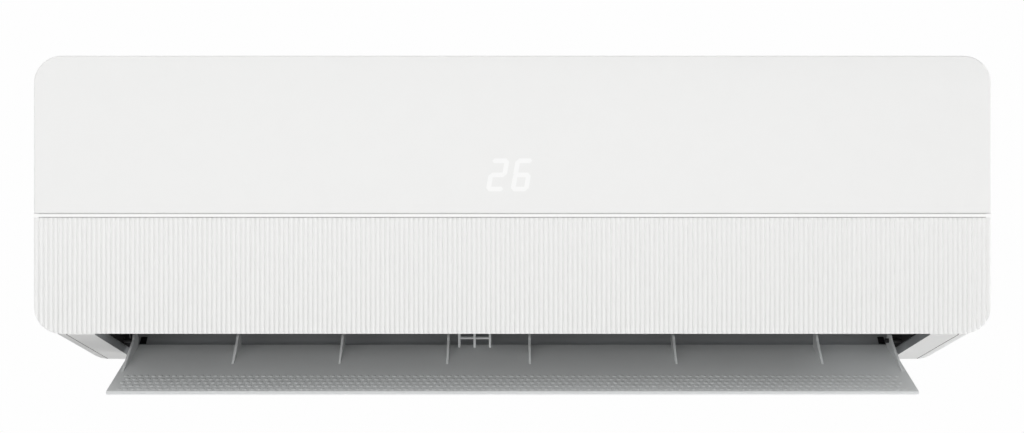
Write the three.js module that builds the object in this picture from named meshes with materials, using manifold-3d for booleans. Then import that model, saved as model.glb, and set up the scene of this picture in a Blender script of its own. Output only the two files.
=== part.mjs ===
// Mini split indoor unit: the wall-hung half of a split air conditioner.
// Millimetres. x runs across the unit, y runs back from the front face to the wall, and z runs up
// from the underside. The finished group is shifted at the end, so that its origin lies on the wall
// behind the middle of the unit.

import * as THREE from 'three';
import { mergeVertices } from 'three/addons/utils/BufferGeometryUtils.js';
import Module from 'manifold-3d';

const wasm = await Module();
wasm.setup();

// ---- Driving dimensions -------------------------------------------------------------------------

// Whole unit
const width = 800;
const depth = 200;
const height = 267;
const cornerRadius = 23;

// Clearances
const fit = 0.3; // between pieces that touch
const runningGap = 0.5; // round shafts and pins that turn
const panelGap = 0.8; // between the front panel and the casing
const seamGap = 0.7; // seam between the casing's corners and the underside
const overlap = 0.2; // by which joined shapes run into each other

// Front panel
const panelDepth = 12;
const panelSkin = 2.6;
const panelEdgeRadius = 1.6;
const panelRoll = 1.2; // lower edge of the smooth skin, rolled back
const panelRise = 34.6; // lower edge of the panel above the underside
const smoothHeight = 132.3;
const trimHeight = 2.5;
const trimProud = 0.4;
const fluteCount = 199;
const fluteDepth = 1.0;
const fluteFacets = 3;
const carrierThickness = 2.4;
const carrierBorder = 26;
const carrierBar = 14; // above and below the trim strip
const carrierPost = 60; // half the width of the middle field
const hingeDrop = 8; // hinge axis below the top of the unit
const hingeEarInset = 34; // from the side of the unit to the middle of an ear
const hingeEarWidth = 5;
const hingePinRadius = 2.4;
const hingePinReach = 5;
const hingePlate = 3; // thickness of each eye
const hingeRelief = 10; // casing cut back round the hinge axis

// Casing
const casingWall = 2.5;
const slopeEnd = 124; // where the sloping underside turns level
const slopeDrop = 1.7; // casing above the panel's lower edge at the front
const partingSetback = 32; // joint between casing and rear chassis, from the wall
const filterBayDrop = 15; // top of the filter bay below the top of the unit
const controlBay = 130; // width kept for motor and controls at the right
const displayBarRise = 13; // cross-bar for the readout above the trim strip
const displayBarHeight = 40;
const displayWindowWidth = 52;
const displayWindowBorder = 4;

// Outlet
const outletMargin = 47; // from the side of the unit to the outlet
const outletRearY = 112.5;
const rimHeight = 7.5;
const rimWall = 2.5;

// Vane
const vaneOpening = 37; // degrees from closed to the pose shown
const vaneSideGap = 6.5;
const vaneFrontY = 14;
const vaneRearY = 102;
const vaneThickness = 3.2;
const vanePivotY = 96;
const vanePivotLift = 11; // pivot above the outer face of the vane
const vaneArmThickness = 2;
const vaneArmRadius = 6.5;
const vaneArmSetback = 51; // foot of an inner arm behind the vane's front edge
const vaneEndArmSetback = 36;
const vaneEndArmInset = 3.5; // end arm in from the side of the blade
const vanePinRadius = 2;
const vaneArmXs = [-249, -154, -58, 15.5, 146, 276];
const vaneMotorGap = 4;
const vaneClipX = -34.5;
const vaneClipWidth = 28;

// Fan
const fanShare = 0.56; // place of the fan's axis along the unit's depth
const fanRadiusShare = 0.23; // of the unit's depth
const fanZ = 100;
const fanBladeCount = 24;
const fanBladeDepth = 13;
const fanBladeThickness = 1.4;
const fanDiscThickness = 2;
const fanBays = 3;
const fanEndGap = 12;
const fanBossRadius = 11;
const shaftRadius = 4;
const bearingSeatRadius = 13;
const bearingRadius = 8;
const bearingLength = 6.5;

// Scroll and duct
const scrollWall = 2.5;
const scrollStart = 30; // degrees above level, behind the fan
const scrollEnd = -50;
const scrollGap = 6.5; // between fan and scroll where the scroll starts
const scrollGrowth = 10.5;
const lipSetback = 4.5; // end of the scroll behind the outlet
const lipZ = 9.5;
const armSlotWidth = 6; // relief in the scroll for the vane's end arms
const armSlotHeight = 6.5;
const armSlotLift = 4.5; // slot above the lip
const troughDepth = 26; // trough behind the fan, under the rear slab
const chassisRibCount = 5;
const ceilingInset = 2.2; // duct ceiling behind the casing's front wall
const ceilingRise = 6.4; // duct ceiling above the panel's lower edge
const tongueGap = 4; // between fan and duct ceiling, front to back
const tongueDrop = 21; // rear end of the duct ceiling below the fan's axis

// Swing louvres
const louvreCount = 10;
const louvreEndRoom = 0.4; // of a pitch, left at the ends of the row together
const louvreLength = 32;
const louvreChord = 36;
const louvreLead = 10; // chord ahead of the pivot
const louvreThickness = 1.5;
const louvrePinRadius = 1.8;
const linkPinRadius = 1.5;
const linkArm = 18;
const linkBarWidth = 6;
const linkBarThickness = 2.5;
const linkPinLength = 5;
const railWidth = 12;
const railThickness = 2.5;
const louvrePlace = 30; // pivot line back along the duct ceiling
const crankInset = 100; // from the side of the unit to the crank
const crankWidth = 5;
const crankClearance = 1.1; // between the crank and the floor below it
const floorRise = 1.3; // that floor above the outlet's rims where it bends

// Drain pan
const panWall = 2.5;
const panRise = 5; // rim of the pan above the duct ceiling's rear end
const panSideGap = 2;
const panBays = 6;
const spigotRadius = 7;
const spigotWall = 1.6;
const spigotLength = 20;
const spigotSetback = 13.5; // from the front end of the duct ceiling
const spigotRise = 23;

// Coil
const coilThickness = 22;
const coilSetback = 5; // front slab behind the filters
const coilFrontTop = 153;
const coilTopStart = 162;
const coilRearEnd = 163;
const coilRearSetback = 14; // lower end of the rear slab ahead of the back wall
const coilApexDrop = 27; // apex of the end plates below the top of the unit
const coilGrooveDepth = 0.6;
const coilLeftInset = 20; // from the outlet's left side
const coilRightInset = 12; // from the duct's right side
const endPlateThickness = 1;
const tubeRadius = 3.5;
const tubeSpacing = 21;
const gasPipeRadius = 4.8;
const liquidPipeRadius = 3.2;
const gasPipeInset = 34; // from the side of the unit to the drop of the pipe
const liquidPipeInset = 18;
const gasPipeZ = 40;
const liquidPipeZ = 18;
const gasPipeEnd = 180;
const liquidPipeEnd = 215;
const pipeBend = 10;
const gasNutWidth = 19;
const liquidNutWidth = 15;
const nutSetback = 16; // nut from the bare end of its pipe

// Filters
const filterLift = 6; // lower edge of a filter above the bay's lower edge
const filterDrop = 5; // upper edge below the top of the unit
const filterSetback = 5.3; // behind the casing's front wall
const filterThickness = 3;
const filterNetThickness = 0.8;
const filterBorder = 9;
const filterRib = 3;
const filterPostX = -38;
const filterPostWidth = 3;
const filterPostLip = 5;
const filterGuide = 2;
const filterTabWidth = 64;
const filterSlack = 1;

// Motors and controls
const motorRadius = 43;
const motorLength = 60;
const motorGap = 5;
const motorFlange = 3; // seam of the can, proud of it
const clampThickness = 2.5;
const clampWidth = 5.2;
const stepperRadius = 14;
const stepperLength = 19;
const stepperOffset = 8;
const stepperEar = 4;
const controlBoxBottom = 98;
const controlBoxDrop = 21; // top of the box below the top of the unit
const controlBoxGap = 4.3; // between the box and the strap of the fan motor
const controlBoxWall = 2;
const controlBoxSetback = 8;
const boardThickness = 1.6;
const boardStandoff = 6;
const terminalPoles = 5;
const terminalPitch = 15;
const lidSlots = 5;
const buttonInset = 70; // from the side of the unit
const buttonZ = 62;
const buttonRadius = 5;
const buttonFlange = 1.4;

// Rear
const plateThickness = 1.2;
const plateWidth = 560;
const plateHeight = 170;
const plateRise = 20; // middle of the plate above the middle of the unit
const plateHoleRadius = 3;
const plateHoleInset = 14;
const plateWindowRadius = 20;
const hookDrop = 62; // hooks below the top of the unit
const hookWidth = 24;
const hookShare = 0.36; // place of the hooks along the plate's width
const backWallSetback = 14;
const channelTop = 60;
const pipeSetback = 23;

// Grille
const grilleFrontY = 31;
const grilleRearGap = 3;
const grilleColumns = 4;
const grilleRows = 10;
const grilleBar = 4;
const grilleBorder = 6;

// ---- Worked-out places --------------------------------------------------------------------------

const halfWidth = width / 2;
const panelBottom = panelRise;
const trimTop = height - smoothHeight;
const trimBottom = trimTop - trimHeight;
const casingFrontY = panelDepth + panelGap;
const casingInnerY = casingFrontY + casingWall;
const underSlope = (panelRise - slopeDrop) / (slopeEnd - panelDepth);
const outletHalf = halfWidth - outletMargin;
const seamHalf = halfWidth - cornerRadius;
const ductLeft = -outletHalf;
const ductRight = halfWidth - controlBay;
const hingeY = panelDepth + 1;
const hingeZ = height - hingeDrop;
const hingeEarX = halfWidth - hingeEarInset;
const vaneHalf = outletHalf - vaneSideGap;
const endArmX = vaneHalf - vaneEndArmInset;
const fanLeft = ductLeft + fanEndGap;
const fanRight = ductRight - fanEndGap;
const coilLeft = ductLeft + coilLeftInset;
const coilRight = ductRight - coilRightInset;
const crankX = halfWidth - crankInset;
const underAngle = Math.atan(underSlope);
const partingY = depth - partingSetback;
const backWallY = depth - backWallSetback;
const pipeY = depth - pipeSetback;
const hookZ = height - hookDrop;
const grilleRearY = partingY - grilleRearGap;
const displayBarBottom = trimTop + displayBarRise;
const displayBarTop = displayBarBottom + displayBarHeight;
const fanY = depth * fanShare;
const fanRadius = depth * fanRadiusShare;
const scrollStartRadius = fanRadius + scrollGap;
const lipY = outletRearY + lipSetback;
const ceilingFrontY = casingInnerY + ceilingInset;
const ceilingFrontZ = panelRise + ceilingRise;
const ceilingRearY = fanY - fanRadius - tongueGap;
const ceilingRearZ = fanZ - tongueDrop;
const ceilingLength = Math.hypot(ceilingRearY - ceilingFrontY, ceilingRearZ - ceilingFrontZ);
const ceilingAngle = Math.atan2(ceilingRearZ - ceilingFrontZ, ceilingRearY - ceilingFrontY);
const endWallTop = fanZ + 52;
const louvrePitch = (ductRight - ductLeft) / (louvreCount + louvreEndRoom);
const panTop = ceilingRearZ + panRise;
const spigotY = ceilingFrontY + spigotSetback;
const spigotZ = ceilingFrontZ + spigotRise;
const filterBayBottom = panTop;
const filterBayTop = height - filterBayDrop;
const filterBottom = filterBayBottom + filterLift;
const filterTop = height - filterDrop;
const filterY = casingInnerY + filterSetback;
const filterBackY = filterY + filterThickness + filterNetThickness + 2 * fit;
const coilFrontY = filterBackY + coilSetback + coilThickness / 2;
const controlBoxTop = height - controlBoxDrop;
const buttonX = halfWidth - buttonInset;
const motorStart = ductRight + rimWall + motorGap;
const boxLeft = ductRight + controlBoxSetback;
const boxRight = halfWidth - 14;
const boxFront = casingInnerY + controlBoxSetback;
const clampRadius = motorRadius + 3 * fit + clampThickness;
const boxBack = fanY - clampRadius - controlBoxGap;
const vanePivotZ = underside(vanePivotY) + vanePivotLift / Math.cos(underAngle);
const topInner = height - casingWall;

// Height of the casing's outer underside at a place between front and back.
function underside(y) {
  return Math.max(0, (slopeEnd - y) * underSlope);
}

// ---- Finishes -----------------------------------------------------------------------------------

const finish = (color, roughness, metalness = 0) =>
  new THREE.MeshStandardMaterial({ color, roughness, metalness });

const satinWhite = finish(0xf1f1f0, 0.4);
const glossWhite = finish(0xf8f8f7, 0.15);
const casingWhite = finish(0xe9e9e8, 0.5);
const vaneGrey = finish(0xa8abab, 0.5);
const ductGrey = finish(0x4a4c4d, 0.6);
const louvreGrey = finish(0x3c3e40, 0.6);
const fanGrey = finish(0x55585a, 0.5);
const frameGrey = finish(0xc8cbcc, 0.6);
const netBlack = finish(0x2b2d2f, 0.8);
const galvanised = finish(0xb9bcbe, 0.4, 0.9);
const aluminiumFins = finish(0xc9ccd0, 0.35, 0.9);
const copper = finish(0xb87346, 0.3, 0.9);
const brass = finish(0xc2a14f, 0.3, 0.9);
const blackRubber = finish(0x1d1d1e, 0.85);
const boardGreen = finish(0x2f6b3c, 0.5);
const boxGrey = finish(0xd6d6d2, 0.6);
const terminalBlack = finish(0x232425, 0.6);
const bushBrass = finish(0xa98f52, 0.35, 0.8);

// ---- Geometry helpers ---------------------------------------------------------------------------

// A closed three.js geometry as a solid that can be joined and cut.
function solid(geometry) {
  const bare = geometry.index ? geometry.toNonIndexed() : geometry.clone();
  bare.deleteAttribute('normal');
  bare.deleteAttribute('uv');
  const merged = mergeVertices(bare, 1e-4);
  return new wasm.Manifold(new wasm.Mesh({
    numProp: 3,
    vertProperties: merged.attributes.position.array,
    triVerts: new Uint32Array(merged.index.array),
  }));
}

// A solid as a three.js geometry.
function toGeometry(body) {
  const mesh = body.getMesh();
  const geometry = new THREE.BufferGeometry();
  geometry.setAttribute('position', new THREE.BufferAttribute(mesh.vertProperties, 3));
  geometry.setIndex(new THREE.BufferAttribute(mesh.triVerts, 1));
  geometry.computeVertexNormals();
  return geometry;
}

const join = (...bodies) => bodies.reduce((all, body) => all.add(body));
const cut = (body, ...tools) => tools.reduce((left, tool) => left.subtract(tool), body);

// A block between two corners.
function block(x0, x1, y0, y1, z0, z1) {
  const geometry = new THREE.BoxGeometry(x1 - x0, y1 - y0, z1 - z0);
  geometry.translate((x0 + x1) / 2, (y0 + y1) / 2, (z0 + z1) / 2);
  return solid(geometry);
}

// A Shape as it is, or one made from a list of points.
function shapeOf(outline) {
  if (outline instanceof THREE.Shape) return outline;
  return new THREE.Shape(outline.map(([u, v]) => new THREE.Vector2(u, v)));
}

function extruded(outline, length, curveSegments) {
  return new THREE.ExtrudeGeometry(shapeOf(outline), { depth: length, bevelEnabled: false, curveSegments });
}

// Outline in (y, z) drawn out along x.
function alongX(outline, x0, x1, curveSegments = 3) {
  const geometry = extruded(outline, x1 - x0, curveSegments);
  geometry.applyMatrix4(new THREE.Matrix4().set(0, 0, 1, x0, 1, 0, 0, 0, 0, 1, 0, 0, 0, 0, 0, 1));
  return solid(geometry);
}

// Outline in (x, z) drawn out along y, with an optional rounded front edge.
function alongY(outline, y0, y1, curveSegments = 3, edge = 0) {
  const geometry = new THREE.ExtrudeGeometry(shapeOf(outline), {
    depth: y1 - y0,
    bevelEnabled: edge > 0,
    bevelThickness: edge,
    bevelSize: edge,
    bevelOffset: -edge,
    bevelSegments: 2,
    curveSegments,
  });
  geometry.applyMatrix4(new THREE.Matrix4().set(1, 0, 0, 0, 0, 0, -1, y1 + edge, 0, 1, 0, 0, 0, 0, 0, 1));
  const body = solid(geometry);
  return edge > 0 ? body.intersect(block(-width, width, y0 - 1, y1, -height, 2 * height)) : body;
}

// Outline in (x, y) drawn up along z.
function alongZ(outline, z0, z1, curveSegments = 3) {
  const geometry = extruded(outline, z1 - z0, curveSegments);
  geometry.translate(0, 0, z0);
  return solid(geometry);
}

// Round bar from one point to another, or a cone when the second radius differs.
function rod(from, to, radius, sides = 16, endRadius = radius) {
  const a = new THREE.Vector3(...from);
  const b = new THREE.Vector3(...to);
  const geometry = new THREE.CylinderGeometry(endRadius, radius, a.distanceTo(b), sides);
  const upright = new THREE.Vector3(0, 1, 0);
  geometry.applyQuaternion(new THREE.Quaternion().setFromUnitVectors(upright, b.clone().sub(a).normalize()));
  geometry.translate((a.x + b.x) / 2, (a.y + b.y) / 2, (a.z + b.z) / 2);
  return solid(geometry);
}

// Rectangle with rounded corners, as a Shape. Radii: bottom and top.
function roundedRectangle(u0, u1, v0, v1, bottomRadius, topRadius = bottomRadius) {
  const shape = new THREE.Shape();
  shape.moveTo(u0 + bottomRadius, v0);
  shape.lineTo(u1 - bottomRadius, v0);
  shape.absarc(u1 - bottomRadius, v0 + bottomRadius, bottomRadius, -Math.PI / 2, 0, false);
  shape.lineTo(u1, v1 - topRadius);
  shape.absarc(u1 - topRadius, v1 - topRadius, topRadius, 0, Math.PI / 2, false);
  shape.lineTo(u0 + topRadius, v1);
  shape.absarc(u0 + topRadius, v1 - topRadius, topRadius, Math.PI / 2, Math.PI, false);
  shape.lineTo(u0, v0 + bottomRadius);
  shape.absarc(u0 + bottomRadius, v0 + bottomRadius, bottomRadius, Math.PI, Math.PI * 1.5, false);
  return shape;
}

// Round bar along x.
const rodX = (x0, x1, y, z, radius, sides = 16) => rod([x0, y, z], [x1, y, z], radius, sides);

// Outline of a wall of even thickness that follows a line of points.
function wallOutline(points, thickness) {
  const half = thickness / 2;
  const normals = points.slice(1).map(([u, v], i) => {
    const du = u - points[i][0];
    const dv = v - points[i][1];
    const length = Math.hypot(du, dv);
    return [-dv / length, du / length];
  });
  const side = (sign) => points.map(([u, v], i) => {
    const before = normals[Math.max(0, i - 1)];
    const after = normals[Math.min(normals.length - 1, i)];
    const mitre = 1 + before[0] * after[0] + before[1] * after[1];
    const shiftU = (before[0] + after[0]) / mitre;
    const shiftV = (before[1] + after[1]) / mitre;
    return [u + sign * half * shiftU, v + sign * half * shiftV];
  });
  return [...side(-1), ...side(1).reverse()];
}

// Closed skin through cross-sections of equal point count, each [y, outline in (x, z)].
function loft(sections) {
  const count = sections[0][1].length;
  const positions = sections.flatMap(([y, outline]) => outline.flatMap((p) => [p.x, y, p.y]));
  const index = [];
  for (let s = 0; s + 1 < sections.length; s += 1) {
    for (let i = 0; i < count; i += 1) {
      const a = s * count + i;
      const b = s * count + (i + 1) % count;
      index.push(a, a + count, b, b, a + count, b + count);
    }
  }
  const last = (sections.length - 1) * count;
  for (const [a, b, c] of THREE.ShapeUtils.triangulateShape(sections[0][1], [])) {
    index.push(a, b, c);
    index.push(last + a, last + c, last + b);
  }
  const geometry = new THREE.BufferGeometry();
  geometry.setAttribute('position', new THREE.Float32BufferAttribute(positions, 3));
  geometry.setIndex(index);
  return solid(geometry);
}

// Tube along straight runs with rounded bends.
function bentTube(points, radius, bend, sides = 8, steps = 30) {
  const path = new THREE.CurvePath();
  const corners = points.map((p) => new THREE.Vector3(...p));
  let start = corners[0];
  for (let i = 1; i + 1 < corners.length; i += 1) {
    const into = corners[i].clone().sub(corners[i - 1]).normalize();
    const out = corners[i + 1].clone().sub(corners[i]).normalize();
    const before = corners[i].clone().addScaledVector(into, -bend);
    const after = corners[i].clone().addScaledVector(out, bend);
    path.add(new THREE.LineCurve3(start, before));
    path.add(new THREE.QuadraticBezierCurve3(before, corners[i], after));
    start = after;
  }
  path.add(new THREE.LineCurve3(start, corners[corners.length - 1]));
  const ring = new THREE.Shape();
  ring.absarc(0, 0, radius, 0, Math.PI * 2, false);
  return solid(new THREE.ExtrudeGeometry(ring, { extrudePath: path, steps, curveSegments: sides / 2 }));
}

const unit = new THREE.Group();

// Adds one finished piece to a group.
function piece(name, body, material, parent = unit) {
  const mesh = new THREE.Mesh(toGeometry(body), material);
  mesh.name = name;
  parent.add(mesh);
  return mesh;
}

// ---- Front panel --------------------------------------------------------------------------------

const panelOutline = (inset) => roundedRectangle(
  -halfWidth + inset, halfWidth - inset, panelBottom + inset, height - inset, cornerRadius - inset);

// The shallow tray that both skins of the panel are taken from.
function panelTray(frontY) {
  const outer = alongY(panelOutline(0), frontY, panelDepth, 4, panelEdgeRadius);
  const hollow = alongY(panelOutline(panelSkin), frontY + panelSkin, panelDepth + 1, 4);
  return cut(outer, hollow);
}

// Smooth skin, rolled back along its lower edge.
function smoothPanel() {
  const above = block(-halfWidth - 1, halfWidth + 1, -1, panelDepth + 1, trimTop + fit, height + 1);
  const roll = alongX([[-1, trimTop - 1], [panelRoll, trimTop - 1], [-1, trimTop + 2 * panelRoll]],
    -halfWidth - 1, halfWidth + 1);
  return cut(panelTray(0).intersect(above), roll);
}

// Plan outline of the fluted face: one shallow arc for each flute.
function fluteOutline(backY) {
  const pitch = width / fluteCount;
  const rise = fluteDepth;
  const radius = (pitch * pitch / 4 + rise * rise) / (2 * rise);
  const half = Math.asin(pitch / 2 / radius);
  const points = [];
  for (let i = 0; i < fluteCount; i += 1) {
    const middle = -halfWidth + (i + 0.5) * pitch;
    for (let k = 0; k < fluteFacets; k += 1) {
      const angle = -half + (2 * half * k) / fluteFacets;
      points.push([middle + radius * Math.sin(angle), radius * (1 - Math.cos(angle))]);
    }
  }
  points.push([halfWidth, rise], [halfWidth, backY], [-halfWidth, backY]);
  return points;
}

// Fluted skin: the flutes stand on the face of the lower tray.
function flutedPanel() {
  const below = block(-halfWidth - 1, halfWidth + 1, -1, panelDepth + 1, panelBottom - 1, trimBottom - fit);
  const outer = alongY(panelOutline(0), -1, panelDepth, 4);
  const flutes = alongZ(fluteOutline(panelDepth), panelBottom - 1, trimBottom + 1);
  const hollow = alongY(panelOutline(panelSkin), fluteDepth + panelSkin, panelDepth + 1, 4);
  return cut(flutes.intersect(outer).intersect(below), hollow);
}

// Glossy strip in the joint between the two skins: a flat face with a tongue behind it.
function trimStrip() {
  const inner = halfWidth - panelSkin;
  const face = block(-halfWidth, halfWidth, -trimProud, panelSkin, trimBottom, trimTop);
  const tongueBack = panelSkin + fluteDepth + 2 * fit;
  const tongue = block(-inner - 1, inner + 1, panelSkin - overlap, tongueBack, trimBottom, trimTop);
  const corner = block(-halfWidth, halfWidth, panelSkin - overlap, panelDepth, trimBottom, trimTop);
  const between = block(-inner, inner, 0, panelDepth + 1, trimBottom - 1, trimTop + 1);
  return join(face, tongue, cut(corner, between));
}

// Stiff frame inside the panel, with windows, cross-bar and the two hinge ears.
function panelCarrier() {
  const y0 = panelSkin + fluteDepth + 3 * fit;
  const y1 = y0 + carrierThickness;
  const shape = panelOutline(panelSkin + fit);
  const z0 = panelBottom + carrierBorder;
  const z1 = height - carrierBorder;
  const window = (u0, u1, v0, v1) => shape.holes.push(roundedRectangle(u0, u1, v0, v1, 8));
  const edgeX = halfWidth - carrierBorder;
  for (const [low, high] of [[z0, trimBottom - carrierBar], [trimTop + carrierBar, z1]]) {
    window(-edgeX, -carrierPost, low, high);
    window(carrierPost, edgeX, low, high);
  }
  window(-displayWindowWidth + 6, displayWindowWidth - 6, displayBarBottom, displayBarTop);
  const bodies = [alongY(shape, y0, y1, 1)];
  for (const side of [-1, 1]) {
    const x = side * hingeEarX;
    const half = hingeEarWidth / 2;
    const reach = half + hingePinReach;
    bodies.push(alongX(earOutline(y1 - overlap), x - half, x + half));
    bodies.push(rodX(x - reach, x + reach, hingeY, hingeZ, hingePinRadius, 12));
  }
  return join(...bodies);
}

// Side view of a hinge ear: round about the pin, running down the carrier.
function earOutline(frontY) {
  const radius = hingePinRadius + 2;
  const shape = new THREE.Shape();
  shape.moveTo(frontY, hingeZ - 22);
  shape.lineTo(hingeY - 1.8, hingeZ - 16);
  shape.lineTo(hingeY - 1.2, hingeZ - 8);
  shape.absarc(hingeY, hingeZ, radius, -Math.PI / 3, Math.PI * 0.6, false);
  shape.lineTo(frontY, hingeZ + 1);
  return shape;
}

// ---- Casing -------------------------------------------------------------------------------------

// Cross-section of the casing: four corner arcs, anticlockwise from the lower left.
function bodySection(bottom, inset) {
  const steps = 6;
  const radius = cornerRadius - inset;
  const sideX = halfWidth - cornerRadius;
  const corners = [[-1, bottom + cornerRadius], [1, bottom + cornerRadius], [1, height - cornerRadius],
    [-1, height - cornerRadius]];
  return corners.flatMap(([side, z], corner) => Array.from({ length: steps + 1 }, (_, k) => {
    const angle = Math.PI * (1 + corner / 2) + (k / steps) * (Math.PI / 2);
    return new THREE.Vector2(side * sideX + radius * Math.cos(angle), z + radius * Math.sin(angle));
  }));
}

// The casing's solid envelope between two depths, drawn in by an inset.
function envelope(y0, y1, inset) {
  const places = [y0, slopeEnd, y1].filter((y, i, all) => y >= y0 && y <= y1 && all.indexOf(y) === i);
  return loft(places.map((y) => [y, bodySection(underside(y), inset)]));
}

// Guide posts that the filters slide in, seen from above.
function filterPost(x, left, right) {
  const front = casingInnerY - overlap;
  const back = filterBackY + filterGuide;
  const bottom = filterBayBottom + fit;
  const half = filterPostWidth / 2;
  const x0 = left ? x - half - filterPostLip : x;
  const x1 = right ? x + half + filterPostLip : x;
  return join(
    block(x - half, x + half, front, back, bottom, filterBayTop),
    block(x - half, x + half, front, filterY - fit, bottom - 4, filterBayTop),
    block(x0, x1, front, filterY - fit, bottom, filterBayTop),
    block(x0, x1, filterBackY, back, bottom, filterBayTop - filterLift),
    block(x0, x1, front, back, bottom, filterBottom - fit));
}

const postXs = [coilLeft - filterPostWidth, filterPostX, coilRight + filterPostWidth];

// Front housing: top, sides with rounded lower corners, and the frame round the filter bay.
function frontCasing() {
  const outer = envelope(casingFrontY, partingY, 0);
  const inner = envelope(casingInnerY, partingY + 1, casingWall);
  let body = cut(outer, inner);
  const left = postXs[0] + filterPostWidth;
  const right = postXs[2] - filterPostWidth;
  const bay = block(left, right, 0, casingInnerY + 1, filterBayBottom, filterBayTop);
  const slot = block(-outletHalf, outletHalf, 0, grilleFrontY - casingWall, filterBayTop, height + 1);
  const grille = block(-outletHalf, outletHalf, grilleFrontY, grilleRearY, topInner - 2, height + 1);
  const relief = rodX(-width, width, hingeY, hingeZ, hingeRelief);
  const aboveHinge = block(-width, width, 0, hingeY, hingeZ, height + 1);
  body = cut(body, bay, slot, grille, relief, undersideCut(), aboveHinge);
  body = join(body, displayBar(), hingeSocket(-1), hingeSocket(1));
  postXs.forEach((x, i) => { body = body.add(filterPost(x, i > 0, i < 2)); });
  body = cut(body, rod([buttonX, 0, buttonZ], [buttonX, casingInnerY + 1, buttonZ], buttonRadius + fit, 16));
  return join(body, switchRest(-1), switchRest(1));
}

// Small block on either side of the button that the switch is fixed to.
function switchRest(side) {
  const x = buttonX + side * (buttonRadius + 3.5);
  return block(x - 1.5, x + 1.5, casingInnerY - overlap, casingInnerY + 3, buttonZ - 4, buttonZ + 4);
}

// The outlet frame and the rear chassis close the underside between the two seams.
function undersideCut() {
  const lift = rimWall + 2 * fit;
  const front = underside(casingFrontY) + lift;
  const outline = [[0, -9], [depth, -9], [depth, lift], [slopeEnd, lift], [casingFrontY, front], [0, front]];
  return alongX(outline, -seamHalf, seamHalf);
}

// Cross-bar of the filter bay with the window that the readout shines through.
function displayBar() {
  const bar = block(postXs[0], postXs[2], casingFrontY, casingInnerY, displayBarBottom, displayBarTop);
  const half = displayWindowWidth / 2;
  const low = displayBarBottom + displayWindowBorder;
  return cut(bar, block(-half, half, 0, casingInnerY + 1, low, displayBarTop - displayWindowBorder));
}

// Two plates with an eye each, one on either side of a hinge ear.
function hingeSocket(side) {
  const x = side * hingeEarX;
  const eye = hingePinRadius + runningGap / 2;
  const bodies = [];
  for (const hand of [-1, 1]) {
    const near = x + hand * (hingeEarWidth / 2 + runningGap);
    const far = near + hand * hingePlate;
    const foot = hingeZ - hingeRelief - 7;
    const rim = eye + 1.5;
    const shape = new THREE.Shape();
    shape.moveTo(casingFrontY, foot);
    shape.lineTo(casingFrontY + 8, foot);
    shape.lineTo(casingFrontY + 8, hingeZ - 6);
    shape.lineTo(hingeY + rim, hingeZ);
    shape.absarc(hingeY, hingeZ, rim, 0, Math.PI, false);
    const plate = alongX(shape, Math.min(near, far), Math.max(near, far));
    bodies.push(cut(plate, rodX(near - 9, near + 9, hingeY, hingeZ, eye, 12)));
  }
  return join(...bodies);
}

// Rows and columns of openings that leave bars between them and a border all round.
function openings(u0, u1, v0, v1, columns, rows, border, post, bar) {
  const pitchU = (u1 - u0 - 2 * border + post) / columns;
  const pitchV = (v1 - v0 - 2 * border + bar) / rows;
  const spans = [];
  for (let c = 0; c < columns; c += 1) {
    for (let r = 0; r < rows; r += 1) {
      const u = u0 + border + c * pitchU;
      const v = v0 + border + r * pitchV;
      spans.push([u, u + pitchU - post, v, v + pitchV - bar]);
    }
  }
  return spans;
}

// Intake grille let into the top of the casing.
function intakeGrille() {
  const x0 = -outletHalf + fit;
  const x1 = outletHalf - fit;
  const y0 = grilleFrontY + fit;
  const y1 = grilleRearY - fit;
  const slots = openings(x0, x1, y0, y1, grilleColumns, grilleRows, grilleBorder, grilleBorder, grilleBar);
  return cut(block(x0, x1, y0, y1, topInner, height),
    ...slots.map(([a, b, c, d]) => block(a, b, c, d, topInner - 1, height + 1)));
}

// Slanted underside with the outlet opening, its low side rims and the rail across the front.
function outletFrame() {
  const y0 = casingFrontY;
  const y1 = slopeEnd - fit;
  const plate = (lift, from, to) => [
    [from, underside(from)], [to, underside(to)], [to, underside(to) + lift], [from, underside(from) + lift],
  ];
  const half = seamHalf - seamGap;
  const base = alongX(plate(rimWall, y0, y1), -half, half);
  const opening = block(-outletHalf, outletHalf, 0, outletRearY, -1, panelRise + 20);
  const bodies = [cut(base, opening)];
  const front = casingInnerY + fit;
  const reach = outletHalf + rimWall;
  const rim = plate(rimHeight, front, outletRearY);
  bodies.push(alongX(rim, -reach, -outletHalf), alongX(rim, outletHalf, reach));
  const railZ = underside(casingInnerY) + rimHeight - 2;
  bodies.push(block(-reach, reach, front, front + railThickness - 0.5, railZ, railZ + 7.5));
  return join(...bodies);
}

// ---- Rear chassis -------------------------------------------------------------------------------

// Points of the scroll behind the fan: the radius grows steadily from the top to the outlet.
function scrollPoints() {
  const steps = 10;
  const points = [];
  for (let i = 0; i <= steps; i += 1) {
    const t = i / steps;
    const angle = THREE.MathUtils.degToRad(scrollStart + (scrollEnd - scrollStart) * t);
    const radius = scrollStartRadius + scrollGrowth * t ** 1.6 + scrollWall / 2;
    points.push([fanY + radius * Math.cos(angle), fanZ + radius * Math.sin(angle)]);
  }
  return points;
}

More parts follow.
